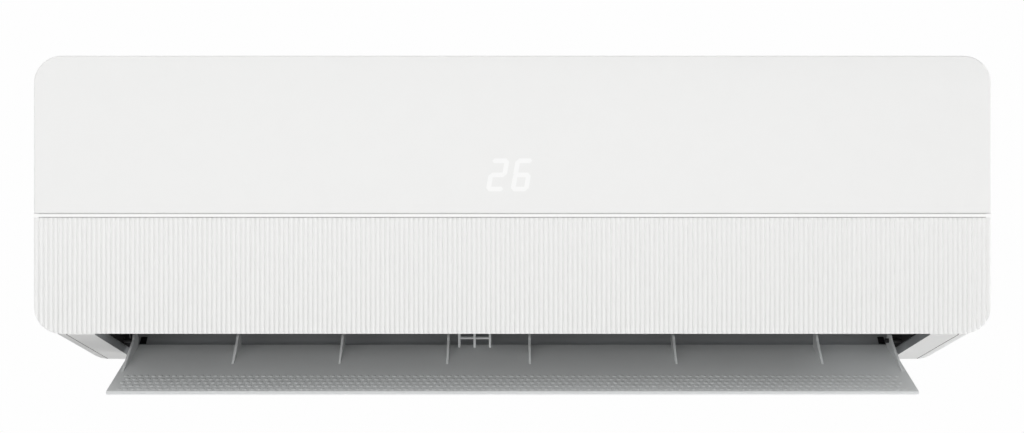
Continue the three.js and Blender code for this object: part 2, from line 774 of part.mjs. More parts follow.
function rearChassis() {
  const outer = envelope(partingY + fit, depth, 0);
  const inner = envelope(partingY, depth + 1, casingWall);
  const open = block(-seamHalf, seamHalf, 0, depth + 9, -1, casingWall + 1);
  const shell = cut(outer, inner);
  const half = seamHalf - seamGap;
  const bottomPlate = block(-half, half, slopeEnd + fit, depth, 0, casingWall);
  const backWall = block(-halfWidth, halfWidth, backWallY, backWallY + casingWall, channelTop, height);
  const scrollLine = [...scrollPoints(), [lipY, lipZ], [slopeEnd + 3, casingWall / 2 + 1]];
  const scroll = alongX(wallOutline(scrollLine, scrollWall), ductLeft - rimWall, outletHalf + rimWall);
  const bodies = [cut(shell, open), bottomPlate, backWall.intersect(envelope(partingY, depth, 1)), scroll];
  bodies.push(troughWalls(), ...chassisRibs(), ...endWalls(), blankFloor(), ...motorCradle());
  return cut(join(...bodies), ...plateSlots(), ...armSlots());
}

// Trough under the rear slab of the coil, from the tip of the scroll to the back wall.
function troughWalls() {
  const [[y, z]] = scrollPoints();
  const x0 = ductLeft - rimWall;
  const x1 = ductRight + rimWall;
  const lip = wallOutline([[y - 4, z + troughDepth], [y, z], [y + 1.5, z - 3]], scrollWall);
  const floor = wallOutline([[y - 1, z + 4], [backWallY + 0.5, z + 8]], scrollWall);
  return join(alongX(lip, x0, x1), alongX(floor, x0, x1));
}

// Upright ribs between the scroll and the back wall, above the pipe channel.
function chassisRibs() {
  const half = scrollWall / 2;
  const back = backWallY + 0.5;
  const [tip] = scrollPoints();
  const low = scrollPoints()[7];
  const outline = [low, [back, channelTop + 2], [back, tip[1] + 5], tip];
  return Array.from({ length: chassisRibCount }, (_, i) => {
    const x = ductLeft + ((i + 0.5) * (ductRight - ductLeft)) / chassisRibCount;
    return alongX(outline, x - half, x + half);
  });
}

// Lowest place for a wall that stands over the rims of the outlet frame.
const aboveRim = (y) => underside(y) + rimHeight + 2 * fit;

// Walls that close the duct at both ends and carry the fan, the vane and the louvre drive.
function endWalls() {
  const front = casingInnerY + 4;
  const low = [[front, aboveRim(front)], [outletRearY, aboveRim(outletRearY)], [lipY + 1, lipZ + 1]];
  const high = [[fanY + 42, endWallTop], [fanY - 52, endWallTop], [front, filterBayBottom - 6]];
  const curve = scrollPoints().reverse();
  const bearing = rodX(-width, width, fanY, fanZ, bearingSeatRadius);
  const vanePin = rodX(-width, width, vanePivotY, vanePivotZ, vanePinRadius + runningGap, 12);
  const spigot = spigotRod(-width, 0, spigotRadius + runningGap);
  const left = join(alongX([...low, ...curve, ...high], ductLeft - rimWall, ductLeft), bearingBoss());
  const right = alongX([...blankLine(), ...curve, ...high], ductRight, ductRight + rimWall);
  const outer = alongX([...low, ...blankLine().reverse()], outletHalf, outletHalf + rimWall);
  const bar = linkPoint(0, 0);
  const barSlot = block(ductRight - 1, ductRight + rimWall + 1, bar.y - 9, bar.y + 9, bar.z - 8, bar.z + 8);
  return [cut(left, bearing, vanePin, spigot), cut(right, bearing, barSlot), cut(outer, vanePin)];
}

function bearingBoss() {
  return rodX(ductLeft - bearingLength - 1, ductLeft, fanY, fanZ, bearingSeatRadius + 3);
}

// Floor that closes the outlet below the motor, above the reach of the vane's arms.
function blankFloor() {
  return alongX(wallOutline(blankLine(), casingWall), ductRight + 1, outletHalf + 1);
}

const blankLine = () => {
  const level = louvreFrame(0).localToWorld(new THREE.Vector3(0, -crankWidth / 2, -louvreLength)).z
    - crankClearance - casingWall / 2;
  const kneeY = casingInnerY + 25;
  return [[casingInnerY + 5, ceilingFrontZ + 5], [kneeY, aboveRim(kneeY) + floorRise], [ceilingRearY - 2, level],
    [fanY + 23, level]];
};

// Two saddles on the scroll that the fan motor lies in.
function motorCradle() {
  const low = -Math.PI * 0.27;
  const high = Math.PI * 0.14;
  return [10, motorLength - 14].map((shift) => {
    const shape = new THREE.Shape();
    shape.absarc(fanY, fanZ, scrollStartRadius + 2, low, high, false);
    shape.absarc(fanY, fanZ, motorRadius + fit, high, low, true);
    return alongX(shape, motorStart + shift, motorStart + shift + 4, 4);
  });
}

// Slots in the back wall that the hooks of the wall plate drop into.
function plateSlots() {
  const half = hookWidth / 2 + 4;
  const back = backWallY + casingWall + 1;
  return hookXs().map((x) => block(x - half, x + half, backWallY - 1, back, hookZ - 3, hookZ + 9));
}

// Slots low in the scroll, behind the two end arms of the vane.
function armSlots() {
  const low = lipZ + armSlotLift;
  const half = armSlotWidth / 2;
  return [-endArmX, endArmX].map((x) => (
    block(x - half, x + half, lipY, lipY + 2 * armSlotHeight, low, low + armSlotHeight)));
}

const hookXs = () => [-plateWidth * hookShare, plateWidth * hookShare];

// Wall plate: pressed sheet with folded edges, hooks and fixing holes.
function wallPlate() {
  const z0 = (height - plateHeight) / 2 + plateRise;
  const z1 = z0 + plateHeight;
  const shape = roundedRectangle(-plateWidth / 2, plateWidth / 2, z0, z1, 6);
  const hole = (x, z, r) => {
    const path = new THREE.Path();
    path.absarc(x, z, r, 0, Math.PI * 2, true);
    shape.holes.push(path);
  };
  for (const z of [z0 + plateHoleInset, z1 - plateHoleInset]) {
    for (const share of [-0.42, -0.21, 0.21, 0.42]) hole(share * plateWidth, z, plateHoleRadius);
  }
  for (const share of [-0.2, 0.2]) hole(share * plateWidth, height / 2 + 24, plateWindowRadius);
  const bodies = [alongY(shape, depth - plateThickness, depth, 4)];
  const flange = backWallY + casingWall + 1;
  const half = plateWidth / 2 - 8;
  bodies.push(block(-half, half, flange, depth, z1 - plateThickness, z1));
  bodies.push(block(-half, half, flange, depth, z0, z0 + plateThickness));
  const tip = backWallY - 4;
  for (const x of hookXs()) {
    const x0 = x - hookWidth / 2;
    const x1 = x + hookWidth / 2;
    bodies.push(block(x0, x1, tip, depth - overlap, hookZ, hookZ + plateThickness));
    bodies.push(block(x0, x1, tip, tip + plateThickness, hookZ, hookZ + 7));
  }
  return join(...bodies);
}

// ---- Coil ---------------------------------------------------------------------------------------

// The three slabs of the coil: lower end and upper end of each centre line.
const slabs = {
  coil_front_slab: [[coilFrontY, panTop + 3], [coilFrontY, coilFrontTop]],
  coil_top_slab: [[coilFrontY + 6, coilTopStart], [fanY - 11, height - coilApexDrop - 13.7]],
  coil_rear_slab: [[fanY + 11, height - coilApexDrop - 11], [backWallY - coilRearSetback, coilRearEnd]],
};

// One slab: a block of fins with shallow grooves along it, as wide as the tube rows.
function finSlab(line) {
  const x0 = coilLeft + endPlateThickness + fit;
  const x1 = coilRight - endPlateThickness - fit;
  const face = coilThickness / 2;
  const grooves = [1 / 3, 2 / 3].flatMap((share) => [-1, 1].map((side) => {
    const root = slabPoint(line, share, side * (face - coilGrooveDepth));
    const mouth = slabPoint(line, share, side * (face + 1));
    return alongX(wallOutline([root, mouth], 2 * coilGrooveDepth), coilLeft, coilRight);
  }));
  return cut(alongX(wallOutline(line, coilThickness), x0, x1), ...grooves);
}

// Point at a share of a slab's length, and off its centre line by an offset.
function slabPoint([from, to], share, offset = 0) {
  const du = to[0] - from[0];
  const dv = to[1] - from[1];
  const length = Math.hypot(du, dv);
  return [from[0] + du * share - (dv / length) * offset, from[1] + dv * share + (du / length) * offset];
}

// Sheet end plate that follows the three slabs.
function endPlate(x) {
  const line = [[coilFrontY, panTop + 1], [coilFrontY, (coilFrontTop + coilTopStart) / 2],
    [fanY, height - coilApexDrop], [backWallY - coilRearSetback + 0.5, coilRearEnd - 3]];
  return alongX(wallOutline(line, coilThickness + 4), x, x + endPlateThickness);
}

// Hairpin bend that joins two tubes of a slab outside the end plate.
function returnBend(line) {
  const length = Math.hypot(line[1][0] - line[0][0], line[1][1] - line[0][1]);
  const x = coilLeft - fit;
  const steps = 8;
  const path = new THREE.CatmullRomCurve3(Array.from({ length: steps + 1 }, (_, i) => {
    const angle = (Math.PI * i) / steps;
    const share = 0.5 - ((tubeSpacing / 2) * Math.cos(angle)) / length;
    const [y, z] = slabPoint(line, share);
    return new THREE.Vector3(x - (tubeSpacing / 2) * 0.9 * Math.sin(angle), y, z);
  }));
  const ring = new THREE.Shape();
  ring.absarc(0, 0, tubeRadius, 0, Math.PI * 2, false);
  const bend = solid(new THREE.ExtrudeGeometry(ring, { extrudePath: path, steps, curveSegments: 4 }));
  return bend.subtract(block(x, x + tubeSpacing, 0, depth, 0, height));
}

// Refrigerant pipes from the coil's right end down to the rear channel.
function linePipe(radius, share, inset, channelZ, endX) {
  const [y, z] = slabPoint(slabs.coil_rear_slab, share);
  const x = halfWidth - inset;
  const turn = z - (pipeY - y);
  const line = [[coilRight + fit, y, z], [x, y, z], [x, pipeY, turn], [x, pipeY, channelZ], [endX, pipeY, channelZ]];
  return bentTube(line, radius, pipeBend, 6, 20);
}

// Hexagonal flare nut with a rounded nose, loose on the end of a pipe.
function flareNut(x, z, pipeRadius, across) {
  const end = x + across * 0.8;
  const tip = x + across * 1.2;
  const nut = rodX(x, end, pipeY, z, across / 2 / Math.cos(Math.PI / 6), 6);
  const nose = rod([end - overlap, pipeY, z], [tip, pipeY, z], across * 0.46, 16, across * 0.36);
  return cut(join(nut, nose), rodX(x - 1, tip + 1, pipeY, z, pipeRadius + fit));
}

// ---- Drain pan and louvres ----------------------------------------------------------------------

const spigotRod = (x0, x1, radius) => rodX(x0, x1, spigotY, spigotZ, radius, 12);

// Pan under the front slab: its bottom is the duct's ceiling, its rear edge the fan's tongue.
function drainPan() {
  const x0 = ductLeft + panSideGap;
  const x1 = ductRight - panSideGap;
  const front = ceilingFrontY + 5;
  const low = ceilingFrontZ + 7;
  const line = [[front, panTop], [front, low], [ceilingRearY, ceilingRearZ + 2], [ceilingRearY - 1, panTop + 8]];
  const lip = [[ceilingFrontY + 1.5, ceilingFrontZ + 3], [front + 1, low + 0.5]];
  const rib = [[front + 1, low + 1], [ceilingRearY - 1, ceilingRearZ + 1], [ceilingRearY - 5, panTop + 2.5],
    [front + 5, panTop + 2.5]];
  const bodies = [alongX(wallOutline(line, panWall), x0, x1), alongX(wallOutline(lip, panWall), x0, x1)];
  for (const x of [x0, x1 - panWall]) bodies.push(alongX(line, x, x + panWall));
  for (let i = 1; i < panBays; i += 1) {
    const x = x0 + ((x1 - x0) * i) / panBays;
    bodies.push(alongX(rib, x - 1, x + 1));
  }
  bodies.push(spigotRod(x0 - spigotLength, x0 + 1, spigotRadius));
  return cut(join(...bodies), spigotRod(x0 - spigotLength - 1, x0 + 9, spigotRadius - spigotWall));
}

// Frame of one louvre: y back along the ceiling, z away from the duct, origin on the pivot line.
function louvreFrame(x) {
  const group = new THREE.Group();
  const drop = railThickness + 2 * fit;
  group.position.set(x,
    ceilingFrontY + louvrePlace * Math.cos(ceilingAngle) + drop * Math.sin(ceilingAngle) + 1.4,
    ceilingFrontZ + louvrePlace * Math.sin(ceilingAngle) - drop * Math.cos(ceilingAngle) + 0.2);
  group.rotation.x = ceilingAngle;
  group.updateMatrixWorld(true);
  return group;
}

// Where a link pin leaves a louvre's free end, in the unit's frame.
function linkPoint(x, along) {
  return louvreFrame(x).localToWorld(new THREE.Vector3(0, linkArm, -louvreLength - along));
}

// Swing louvre: a thin blade with a pivot pin above and a link pin below.
function louvreBlade() {
  const shape = new THREE.Shape();
  const front = -louvreLead;
  const back = louvreChord - louvreLead;
  shape.moveTo(front + 4, -1);
  shape.lineTo(front, -10);
  shape.lineTo(front, -louvreLength + 8);
  shape.quadraticCurveTo(front, -louvreLength, front + 8, -louvreLength);
  shape.lineTo(back - 2, -louvreLength);
  shape.lineTo(back, -louvreLength + 2);
  shape.lineTo(back - 6, -1);
  const blade = alongX(shape, -louvreThickness / 2, louvreThickness / 2, 3);
  const pivot = rod([0, 0, -3], [0, 0, railThickness], louvrePinRadius - 0.2, 6);
  const tip = -louvreLength - linkPinLength;
  const link = rod([0, linkArm, -louvreLength + 3], [0, linkArm, tip], linkPinRadius - 0.2, 6);
  return join(blade, pivot, link);
}

const louvreXs = () => Array.from({ length: louvreCount }, (_, i) =>
  (ductLeft + ductRight) / 2 + (i - (louvreCount - 1) / 2) * louvrePitch);

// Rail under the duct ceiling with a hole for each louvre.
function louvreRail() {
  const xs = louvreXs();
  const end = 14;
  const strip = block(xs[0] - end, xs[louvreCount - 1] + end, -railWidth / 2, railWidth / 2, 0, railThickness);
  return cut(strip, ...xs.map((x) => rod([x, 0, -1], [x, 0, 9], louvrePinRadius + runningGap / 2, 6)));
}

// Bar that couples the louvres to the crank.
function linkBar() {
  const xs = [...louvreXs(), crankX];
  const z1 = -louvreLength - 1;
  const z0 = z1 - linkBarThickness;
  const half = linkBarWidth / 2;
  const bar = block(xs[0] - 5, crankX + 5, linkArm - half, linkArm + half, z0, z1);
  const hole = linkPinRadius + runningGap / 2;
  return cut(bar, ...xs.map((x) => rod([x, linkArm, z0 - 1], [x, linkArm, z1 + 1], hole, 6)));
}

// Crank on the shaft of the swing motor.
function swingCrank() {
  const half = crankWidth / 2;
  const end = -louvreLength;
  const shaft = rod([0, 0, end], [0, 0, -fit], half - fit, 12);
  const web = block(-half, half, -half, linkArm + half, end, end + 3);
  const pin = rod([0, linkArm, end + 1], [0, linkArm, end - linkPinLength], linkPinRadius, 8);
  return join(shaft, web, pin);
}

// Small geared stepper motor along z: can, boss on the output side and two ears.
function stepper(offsetY) {
  const can = rod([0, offsetY, 0], [0, offsetY, stepperLength], stepperRadius, 20);
  const reach = stepperRadius + stepperEar;
  return join(can, block(-reach, reach, offsetY - stepperEar, offsetY + stepperEar, 0, 1));
}

// ---- Vane ---------------------------------------------------------------------------------------

// The vane is drawn shut, in a frame on its pivot with y back along its outer face.
const vaneFrame = new THREE.Group();
vaneFrame.position.set(0, vanePivotY, vanePivotZ);
vaneFrame.rotation.x = THREE.MathUtils.degToRad(vaneOpening) - underAngle;

const alongSlope = (y) => (y - vanePivotY) / Math.cos(underAngle) + vanePivotLift * Math.tan(underAngle);
const vaneFront = alongSlope(vaneFrontY);
const vaneRear = alongSlope(vaneRearY);

// Side view of the blade: even thickness with rounded front and rear edges.
function vaneOutline() {
  const low = -vanePivotLift;
  const high = low + vaneThickness;
  const edge = vaneThickness / 4;
  const shape = new THREE.Shape();
  shape.moveTo(vaneFront + edge, low);
  shape.lineTo(vaneRear - 2, low);
  shape.quadraticCurveTo(vaneRear, low, vaneRear, low + 2 * edge);
  shape.lineTo(vaneRear - 2, high);
  shape.lineTo(vaneFront + edge, high);
  shape.lineTo(vaneFront, high - edge);
  shape.lineTo(vaneFront, low + edge);
  return shape;
}

// Side view of an arm: a foot on the blade, drawn up to a round head about the pivot.
function armOutline(footFront) {
  const foot = -vanePivotLift + vaneThickness - overlap;
  const shape = new THREE.Shape();
  shape.moveTo(footFront, foot);
  shape.lineTo(vaneRear - 6, foot);
  shape.absarc(0, 0, vaneArmRadius, -0.35, Math.PI * 0.82, false);
  return shape;
}

function vaneBody() {
  const bodies = [alongX(vaneOutline(), -vaneHalf, vaneHalf, 3)];
  const half = vaneArmThickness / 2;
  const addArm = (x, setback) => bodies.push(alongX(armOutline(vaneFront + setback), x - half, x + half, 5));
  for (const x of vaneArmXs) addArm(x, vaneArmSetback);
  for (const side of [-1, 1]) addArm(side * endArmX, vaneEndArmSetback);
  bodies.push(rodX(-outletHalf - rimWall - 2, -endArmX, 0, 0, vanePinRadius));
  return cut(join(...bodies), rodX(endArmX - 5, vaneHalf + 1, 0, 0, vanePinRadius + fit));
}

// Little snap frame on the vane near the middle: three ribs and two bars.
function vaneClip() {
  const foot = -vanePivotLift + vaneThickness + fit;
  const y = 5;
  const ribs = [-1, 0, 1].map((i) => {
    const x = vaneClipX + (i * vaneClipWidth) / 2;
    return alongX([[y - 4, foot], [y + 5, foot], [y + 2, 8], [y - 1.5, 8]], x - 1, x + 1);
  });
  const x0 = vaneClipX - vaneClipWidth / 2;
  const x1 = vaneClipX + vaneClipWidth / 2;
  return join(...ribs, block(x0, x1, y - 2, y + 0.5, 0, 1.6), block(x0, x1, y - 1.5, y + 1, 5.6, 7.2));
}

// Coupling between the vane and its motor.
function vaneCoupling() {
  return rodX(endArmX - 4, outletHalf + rimWall + vaneMotorGap - 2 * fit, 0, 0, vanePinRadius);
}

// ---- Fan ----------------------------------------------------------------------------------------

// Cross-flow wheel: curved blades through a row of rings, closed at both ends.
function fanWheel() {
  const length = fanRight - fanLeft;
  const outer = fanRadius - 2 * fit;
  const inner = fanRadius - fanBladeDepth;
  const bodies = [];
  for (let i = 0; i < fanBladeCount; i += 1) {
    const turn = (i * 2 * Math.PI) / fanBladeCount;
    const at = (radius, lean) => [radius * Math.cos(turn + lean), radius * Math.sin(turn + lean)];
    const line = [at(inner, 0), at((inner + outer) / 2, 0.08), at(outer, 0.25)];
    bodies.push(alongX(wallOutline(line, fanBladeThickness), 0, length));
  }
  for (let i = 0; i <= fanBays; i += 1) {
    const x = (i * (length - fanDiscThickness)) / fanBays;
    const end = x + fanDiscThickness;
    const disc = rodX(x, end, 0, 0, fanRadius, 24);
    const closed = i === 0 || i === fanBays;
    bodies.push(closed ? disc : cut(disc, rodX(x - 1, end + 1, 0, 0, inner - 2.5, 12)));
  }
  bodies.push(rodX(-fanEndGap - bearingLength, 1, 0, 0, shaftRadius));
  bodies.push(rodX(length - 1, length + 4, 0, 0, fanBossRadius, 20));
  return cut(join(...bodies), rodX(length - 6, length + 9, 0, 0, shaftRadius + fit));
}

// Motor can with two end shields and a bore for the shaft.
function fanMotor() {
  const middle = motorLength / 2;
  const bore = shaftRadius + runningGap;
  const can = motorRadius - motorFlange;
  const hub = shaftRadius + 8;
  const profile = [
    [bore, 0], [hub, 0], [hub, 4], [can - 6, 6], [can, 9],
    [can, middle - 3], [motorRadius, middle - 3], [motorRadius, middle + 3], [can, middle + 3],
    [can, motorLength - 9], [can - 6, motorLength - 5], [hub, motorLength - 3], [hub, motorLength],
    [bore, motorLength], [bore, 0],
  ];
  const turned = new THREE.LatheGeometry(profile.map(([r, a]) => new THREE.Vector2(r, a)), 18);
  turned.rotateZ(-Math.PI / 2);
  turned.translate(motorStart, fanY, fanZ);
  return solid(turned);
}

function motorShaft() {
  return rodX(fanRight - 5, motorStart + motorLength + 3, fanY, fanZ, shaftRadius);
}

// Strap that holds the motor down in its cradle.
function motorClamp() {
  const x = motorStart + motorLength / 2;
  const low = Math.PI * 0.17;
  const high = Math.PI * 0.98;
  const shape = new THREE.Shape();
  shape.absarc(fanY, fanZ, clampRadius, low, high, false);
  shape.absarc(fanY, fanZ, clampRadius - clampThickness, high, low, true);
  return alongX(shape, x - clampWidth / 2, x + clampWidth / 2, 5);
}

// Ring about the fan's axis, in the wall at the left end of the duct.
function bearingRing(outer, inner, sides) {
  const x0 = ductLeft - bearingLength;
  const ring = rodX(x0, ductLeft, fanY, fanZ, outer, sides);
  return cut(ring, rodX(x0 - 1, ductLeft + 1, fanY, fanZ, inner, sides));
}

// ---- Filters ------------------------------------------------------------------------------------

// Moulded frame of a filter: border, ribs and a finger tab along the top.
function filterFrame(x0, x1) {
  const y0 = filterY;
  const y1 = filterY + filterThickness;
  const windows = openings(x0, x1, filterBottom, filterTop, 4, 3, filterBorder, filterRib, filterRib);
  const middle = (x0 + x1) / 2;
  const half = filterTabWidth / 2;
  const tab = block(middle - half, middle + half, y0 - 1.2, y0 + overlap, filterTop - 7, filterTop);
  const frame = cut(block(x0, x1, y0, y1, filterBottom, filterTop),
    ...windows.map(([a, b, c, d]) => block(a, b, y0 - 1, y1 + 1, c, d)));
  return join(frame, tab);
}

// Net stretched behind the frame.
function filterNet(x0, x1) {
  const y0 = filterY + filterThickness + fit;
  return block(x0 + 3, x1 - 3, y0, y0 + filterNetThickness, filterBottom + 3, filterTop - 3);
}

// ---- Controls -----------------------------------------------------------------------------------

// Open-backed tray for the control board.
function controlBox() {
  const y1 = boxBack;
  const outer = block(boxLeft, boxRight, boxFront, y1, controlBoxBottom, controlBoxTop);
  const w = controlBoxWall;
  const hollow = block(boxLeft + w, boxRight - w, boxFront - 1, y1 - w, controlBoxBottom + w, controlBoxTop - w);
  const low = controlBoxBottom + 20;
  const cable = block(boxRight - 30, boxRight - 12, y1 - w - 1, y1 + 1, low, low + 14);
  return cut(outer, hollow, cable);
}

// Circuit board on two rails, with its capacitors, transformer, relay and connector block.
function controlBoard() {
  const y = boxBack - controlBoxWall - boardStandoff;
  const x0 = boxLeft + 5;
  const x1 = boxRight - 5;
  const z0 = controlBoxBottom + 44;
  const z1 = controlBoxTop - 6;
  const back = y + overlap;
  const capacitor = (x, z, length, radius) => rod([x0 + x, back, z0 + z], [x0 + x, y - length, z0 + z], radius, 14);
  const unitOf = (x, z, length, w, h) => block(x0 + x, x0 + x + w, y - length, back, z0 + z, z0 + z + h);
  const rails = [x0 + 4, x1 - 8].map((x) => block(x, x + 4, y, y + boardStandoff - fit, z0 + 6, z1 - 6));
  return join(
    block(x0, x1, y, y + boardThickness, z0, z1), ...rails,
    capacitor(18, 48, 17, 9), capacitor(38, 64, 14, 6),
    unitOf(52, 26, 15, 32, 28), unitOf(10, 8, 12, 22, 16), unitOf(48, 70, 8, 40, 16));
}

function terminalBlock() {
  const y1 = boxBack - controlBoxWall - fit;
  const x0 = boxLeft + 8;
  const z0 = controlBoxBottom + 5;
  const z1 = z0 + 32;
  const body = block(x0, x0 + terminalPoles * terminalPitch, y1 - 20, y1, z0, z1);
  const wells = Array.from({ length: terminalPoles }, (_, i) => {
    const x = x0 + i * terminalPitch;
    return block(x + 2, x + terminalPitch - 2, y1 - 21, y1 - 12, z0 + 3, z1 - 3);
  });
  return cut(body, ...wells);
}

// Steel lid with a row of louvred slots.
function controlLid() {
  const y1 = boxFront - fit;
  const lid = alongY(roundedRectangle(boxLeft, boxRight, controlBoxBottom, controlBoxTop, 3), y1 - 1, y1, 1);
  const slots = Array.from({ length: lidSlots }, (_, i) => {
    const z = controlBoxTop - 22 - i * 9;
    return block(boxLeft + 22, boxRight - 22, y1 - 2, y1 + 1, z - 1.5, z + 1.5);
  });
  return cut(lid, ...slots);
}

// Board behind the readout window, with its light box.
function displayBoard() {
  const y0 = casingInnerY + fit;
  const half = displayWindowWidth / 2;
  const inset = displayWindowBorder + 2;
  const board = block(-half - 4, half + 4, y0, y0 + boardThickness, displayBarBottom + 1, displayBarTop - 1);
  const low = displayBarBottom + inset;
  const lightBox = block(-half + 3, half - 3, panelDepth - 2.5, y0 + overlap, low, displayBarTop - inset);
  return join(board, lightBox);
}

function autoButton() {
  const disc = (y0, y1, radius) => rod([buttonX, y0, buttonZ], [buttonX, y1, buttonZ], radius, 16);
  const behind = casingInnerY + fit;
  const cap = disc(panelDepth + fit, behind + 1, buttonRadius);
  return join(cap, disc(behind, behind + 1.4, buttonRadius + buttonFlange));
}

function switchBlock() {
  const y0 = casingInnerY + 3 + fit;
  return block(buttonX - 11, buttonX + 11, y0, y0 + 6, buttonZ - 6, buttonZ + 6);
}

// ---- Assembly -----------------------------------------------------------------------------------

piece('smooth_panel', smoothPanel(), satinWhite);
piece('fluted_panel', flutedPanel(), satinWhite);
piece('trim_strip', trimStrip(), glossWhite);
piece('panel_carrier', panelCarrier(), casingWhite);

piece('front_casing', frontCasing(), casingWhite);
piece('intake_grille', intakeGrille(), casingWhite);
piece('outlet_frame', outletFrame(), casingWhite);
piece('rear_chassis', rearChassis(), ductGrey);
piece('wall_plate', wallPlate(), galvanised);

for (const [name, line] of Object.entries(slabs)) piece(name, finSlab(line), aluminiumFins);
piece('coil_end_plate_left', endPlate(coilLeft), galvanised);
piece('coil_end_plate_right', endPlate(coilRight - endPlateThickness), galvanised);
piece('return_bend_front', returnBend(slabs.coil_front_slab), copper);
piece('return_bend_top', returnBend(slabs.coil_top_slab), copper);
piece('return_bend_rear', returnBend(slabs.coil_rear_slab), copper);
piece('gas_pipe', linePipe(gasPipeRadius, 0.64, gasPipeInset, gasPipeZ, gasPipeEnd), copper);
piece('liquid_pipe', linePipe(liquidPipeRadius, 0.36, liquidPipeInset, liquidPipeZ, liquidPipeEnd), copper);
piece('gas_flare_nut', flareNut(gasPipeEnd + nutSetback, gasPipeZ, gasPipeRadius, gasNutWidth), brass);
piece('liquid_flare_nut', flareNut(liquidPipeEnd + nutSetback, liquidPipeZ, liquidPipeRadius, liquidNutWidth), brass);

piece('drain_pan', drainPan(), ductGrey);

const duct = louvreFrame(0);
unit.add(duct);
piece('louvre_rail', louvreRail(), louvreGrey, duct);
louvreXs().forEach((x, i) => {
  const blade = piece('louvre_' + String(i + 1).padStart(2, '0'), louvreBlade(), louvreGrey, duct);
  blade.position.x = x;
});
piece('link_bar', linkBar(), louvreGrey, duct);
piece('swing_crank', swingCrank(), frameGrey, duct).position.x = crankX;
piece('swing_motor', stepper(0), galvanised, duct).position.x = crankX;

unit.add(vaneFrame);
piece('vane', vaneBody(), vaneGrey, vaneFrame);
piece('vane_clip', vaneClip(), vaneGrey, vaneFrame);
piece('vane_coupling', vaneCoupling(), frameGrey, vaneFrame);

const vaneMotor = piece('vane_motor', stepper(stepperOffset), galvanised);
vaneMotor.position.set(outletHalf + rimWall + vaneMotorGap, vanePivotY, vanePivotZ);
vaneMotor.rotation.set(Math.PI / 2, Math.PI / 2, 0);

const wheel = piece('fan_wheel', fanWheel(), fanGrey);
wheel.position.set(fanLeft, fanY, fanZ);
piece('motor_shaft', motorShaft(), galvanised);
piece('fan_motor', fanMotor(), galvanised);
piece('motor_clamp', motorClamp(), frameGrey);
piece('bearing_rubber', bearingRing(bearingSeatRadius - fit, bearingRadius, 20), blackRubber);
piece('fan_bearing', bearingRing(bearingRadius - fit, shaftRadius + runningGap / 2, 16), bushBrass);

const filterEdge = filterPostWidth / 2 + filterSlack;
const filterSpans = {
  left: [postXs[0] + filterEdge, postXs[1] - filterEdge],
  right: [postXs[1] + filterEdge, postXs[2] - filterEdge],
};
for (const [side, [x0, x1]] of Object.entries(filterSpans)) {
  piece('filter_frame_' + side, filterFrame(x0, x1), frameGrey);
  piece('filter_net_' + side, filterNet(x0, x1), netBlack);
}

piece('control_box', controlBox(), boxGrey);
piece('control_board', controlBoard(), boardGreen);
piece('terminal_block', terminalBlock(), terminalBlack);
piece('control_lid', controlLid(), galvanised);
piece('display_board', displayBoard(), boardGreen);
piece('auto_button', autoButton(), casingWhite);
piece('switch_block', switchBlock(), terminalBlack);

unit.position.set(0, -depth, -height / 2);

const group = new THREE.Group();
group.add(unit);

export default group;
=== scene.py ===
"""Looks of a mini split indoor unit, put together in the order of the real one."""

import math

import bpy
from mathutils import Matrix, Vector


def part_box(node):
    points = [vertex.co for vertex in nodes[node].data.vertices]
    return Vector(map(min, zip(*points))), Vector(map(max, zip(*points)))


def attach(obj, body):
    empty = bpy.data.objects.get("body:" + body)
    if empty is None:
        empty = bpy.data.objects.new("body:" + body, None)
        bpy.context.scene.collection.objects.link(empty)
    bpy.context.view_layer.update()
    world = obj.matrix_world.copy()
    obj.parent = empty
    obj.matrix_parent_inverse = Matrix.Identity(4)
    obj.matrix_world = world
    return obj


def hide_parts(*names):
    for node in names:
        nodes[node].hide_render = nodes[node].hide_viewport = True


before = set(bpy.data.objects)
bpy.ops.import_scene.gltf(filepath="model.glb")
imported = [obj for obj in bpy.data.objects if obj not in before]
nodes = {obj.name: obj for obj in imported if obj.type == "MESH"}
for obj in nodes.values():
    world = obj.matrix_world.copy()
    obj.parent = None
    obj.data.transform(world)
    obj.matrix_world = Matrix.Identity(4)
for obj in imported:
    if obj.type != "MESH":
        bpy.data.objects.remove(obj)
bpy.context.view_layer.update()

# ---- Wall plate ----------------------------------------------------------------------------------
# Pressed steel sheet, hot-dip galvanised, that is screwed up first; the unit hangs on its two hooks.
# Sheared edges and punched holes, so the edges are nearly sharp.

MM = 0.001


def linear(code):
    """An sRGB hex colour as the linear colour that a socket takes."""
    parts = [int(code[i:i + 2], 16) / 255 for i in (1, 3, 5)]
    return [p / 12.92 if p <= 0.04045 else ((p + 0.055) / 1.055) ** 2.4 for p in parts] + [1.0]


def add(tree, kind, settings=None, links=None):
    """Adds a node: a setting goes to its property or input of that name, a link to an input."""
    node = tree.nodes.new(kind)
    for name, value in (settings or {}).items():
        if isinstance(name, str) and hasattr(node, name):
            setattr(node, name, value)
        else:
            node.inputs[name].default_value = value
    for name, source in (links or {}).items():
        tree.links.new(source, node.inputs[name])
    return node


def material_of(stock):
    """The material of a stock: its function adds the nodes to a tree, by the place on the piece."""
    material = bpy.data.materials.new(stock.__name__)
    material.use_nodes = True
    tree = material.node_tree
    tree.nodes.clear()
    shader = stock(tree, add(tree, "ShaderNodeTexCoord").outputs["Object"])
    add(tree, "ShaderNodeOutputMaterial", {}, {"Surface": shader.outputs[0]})
    return material


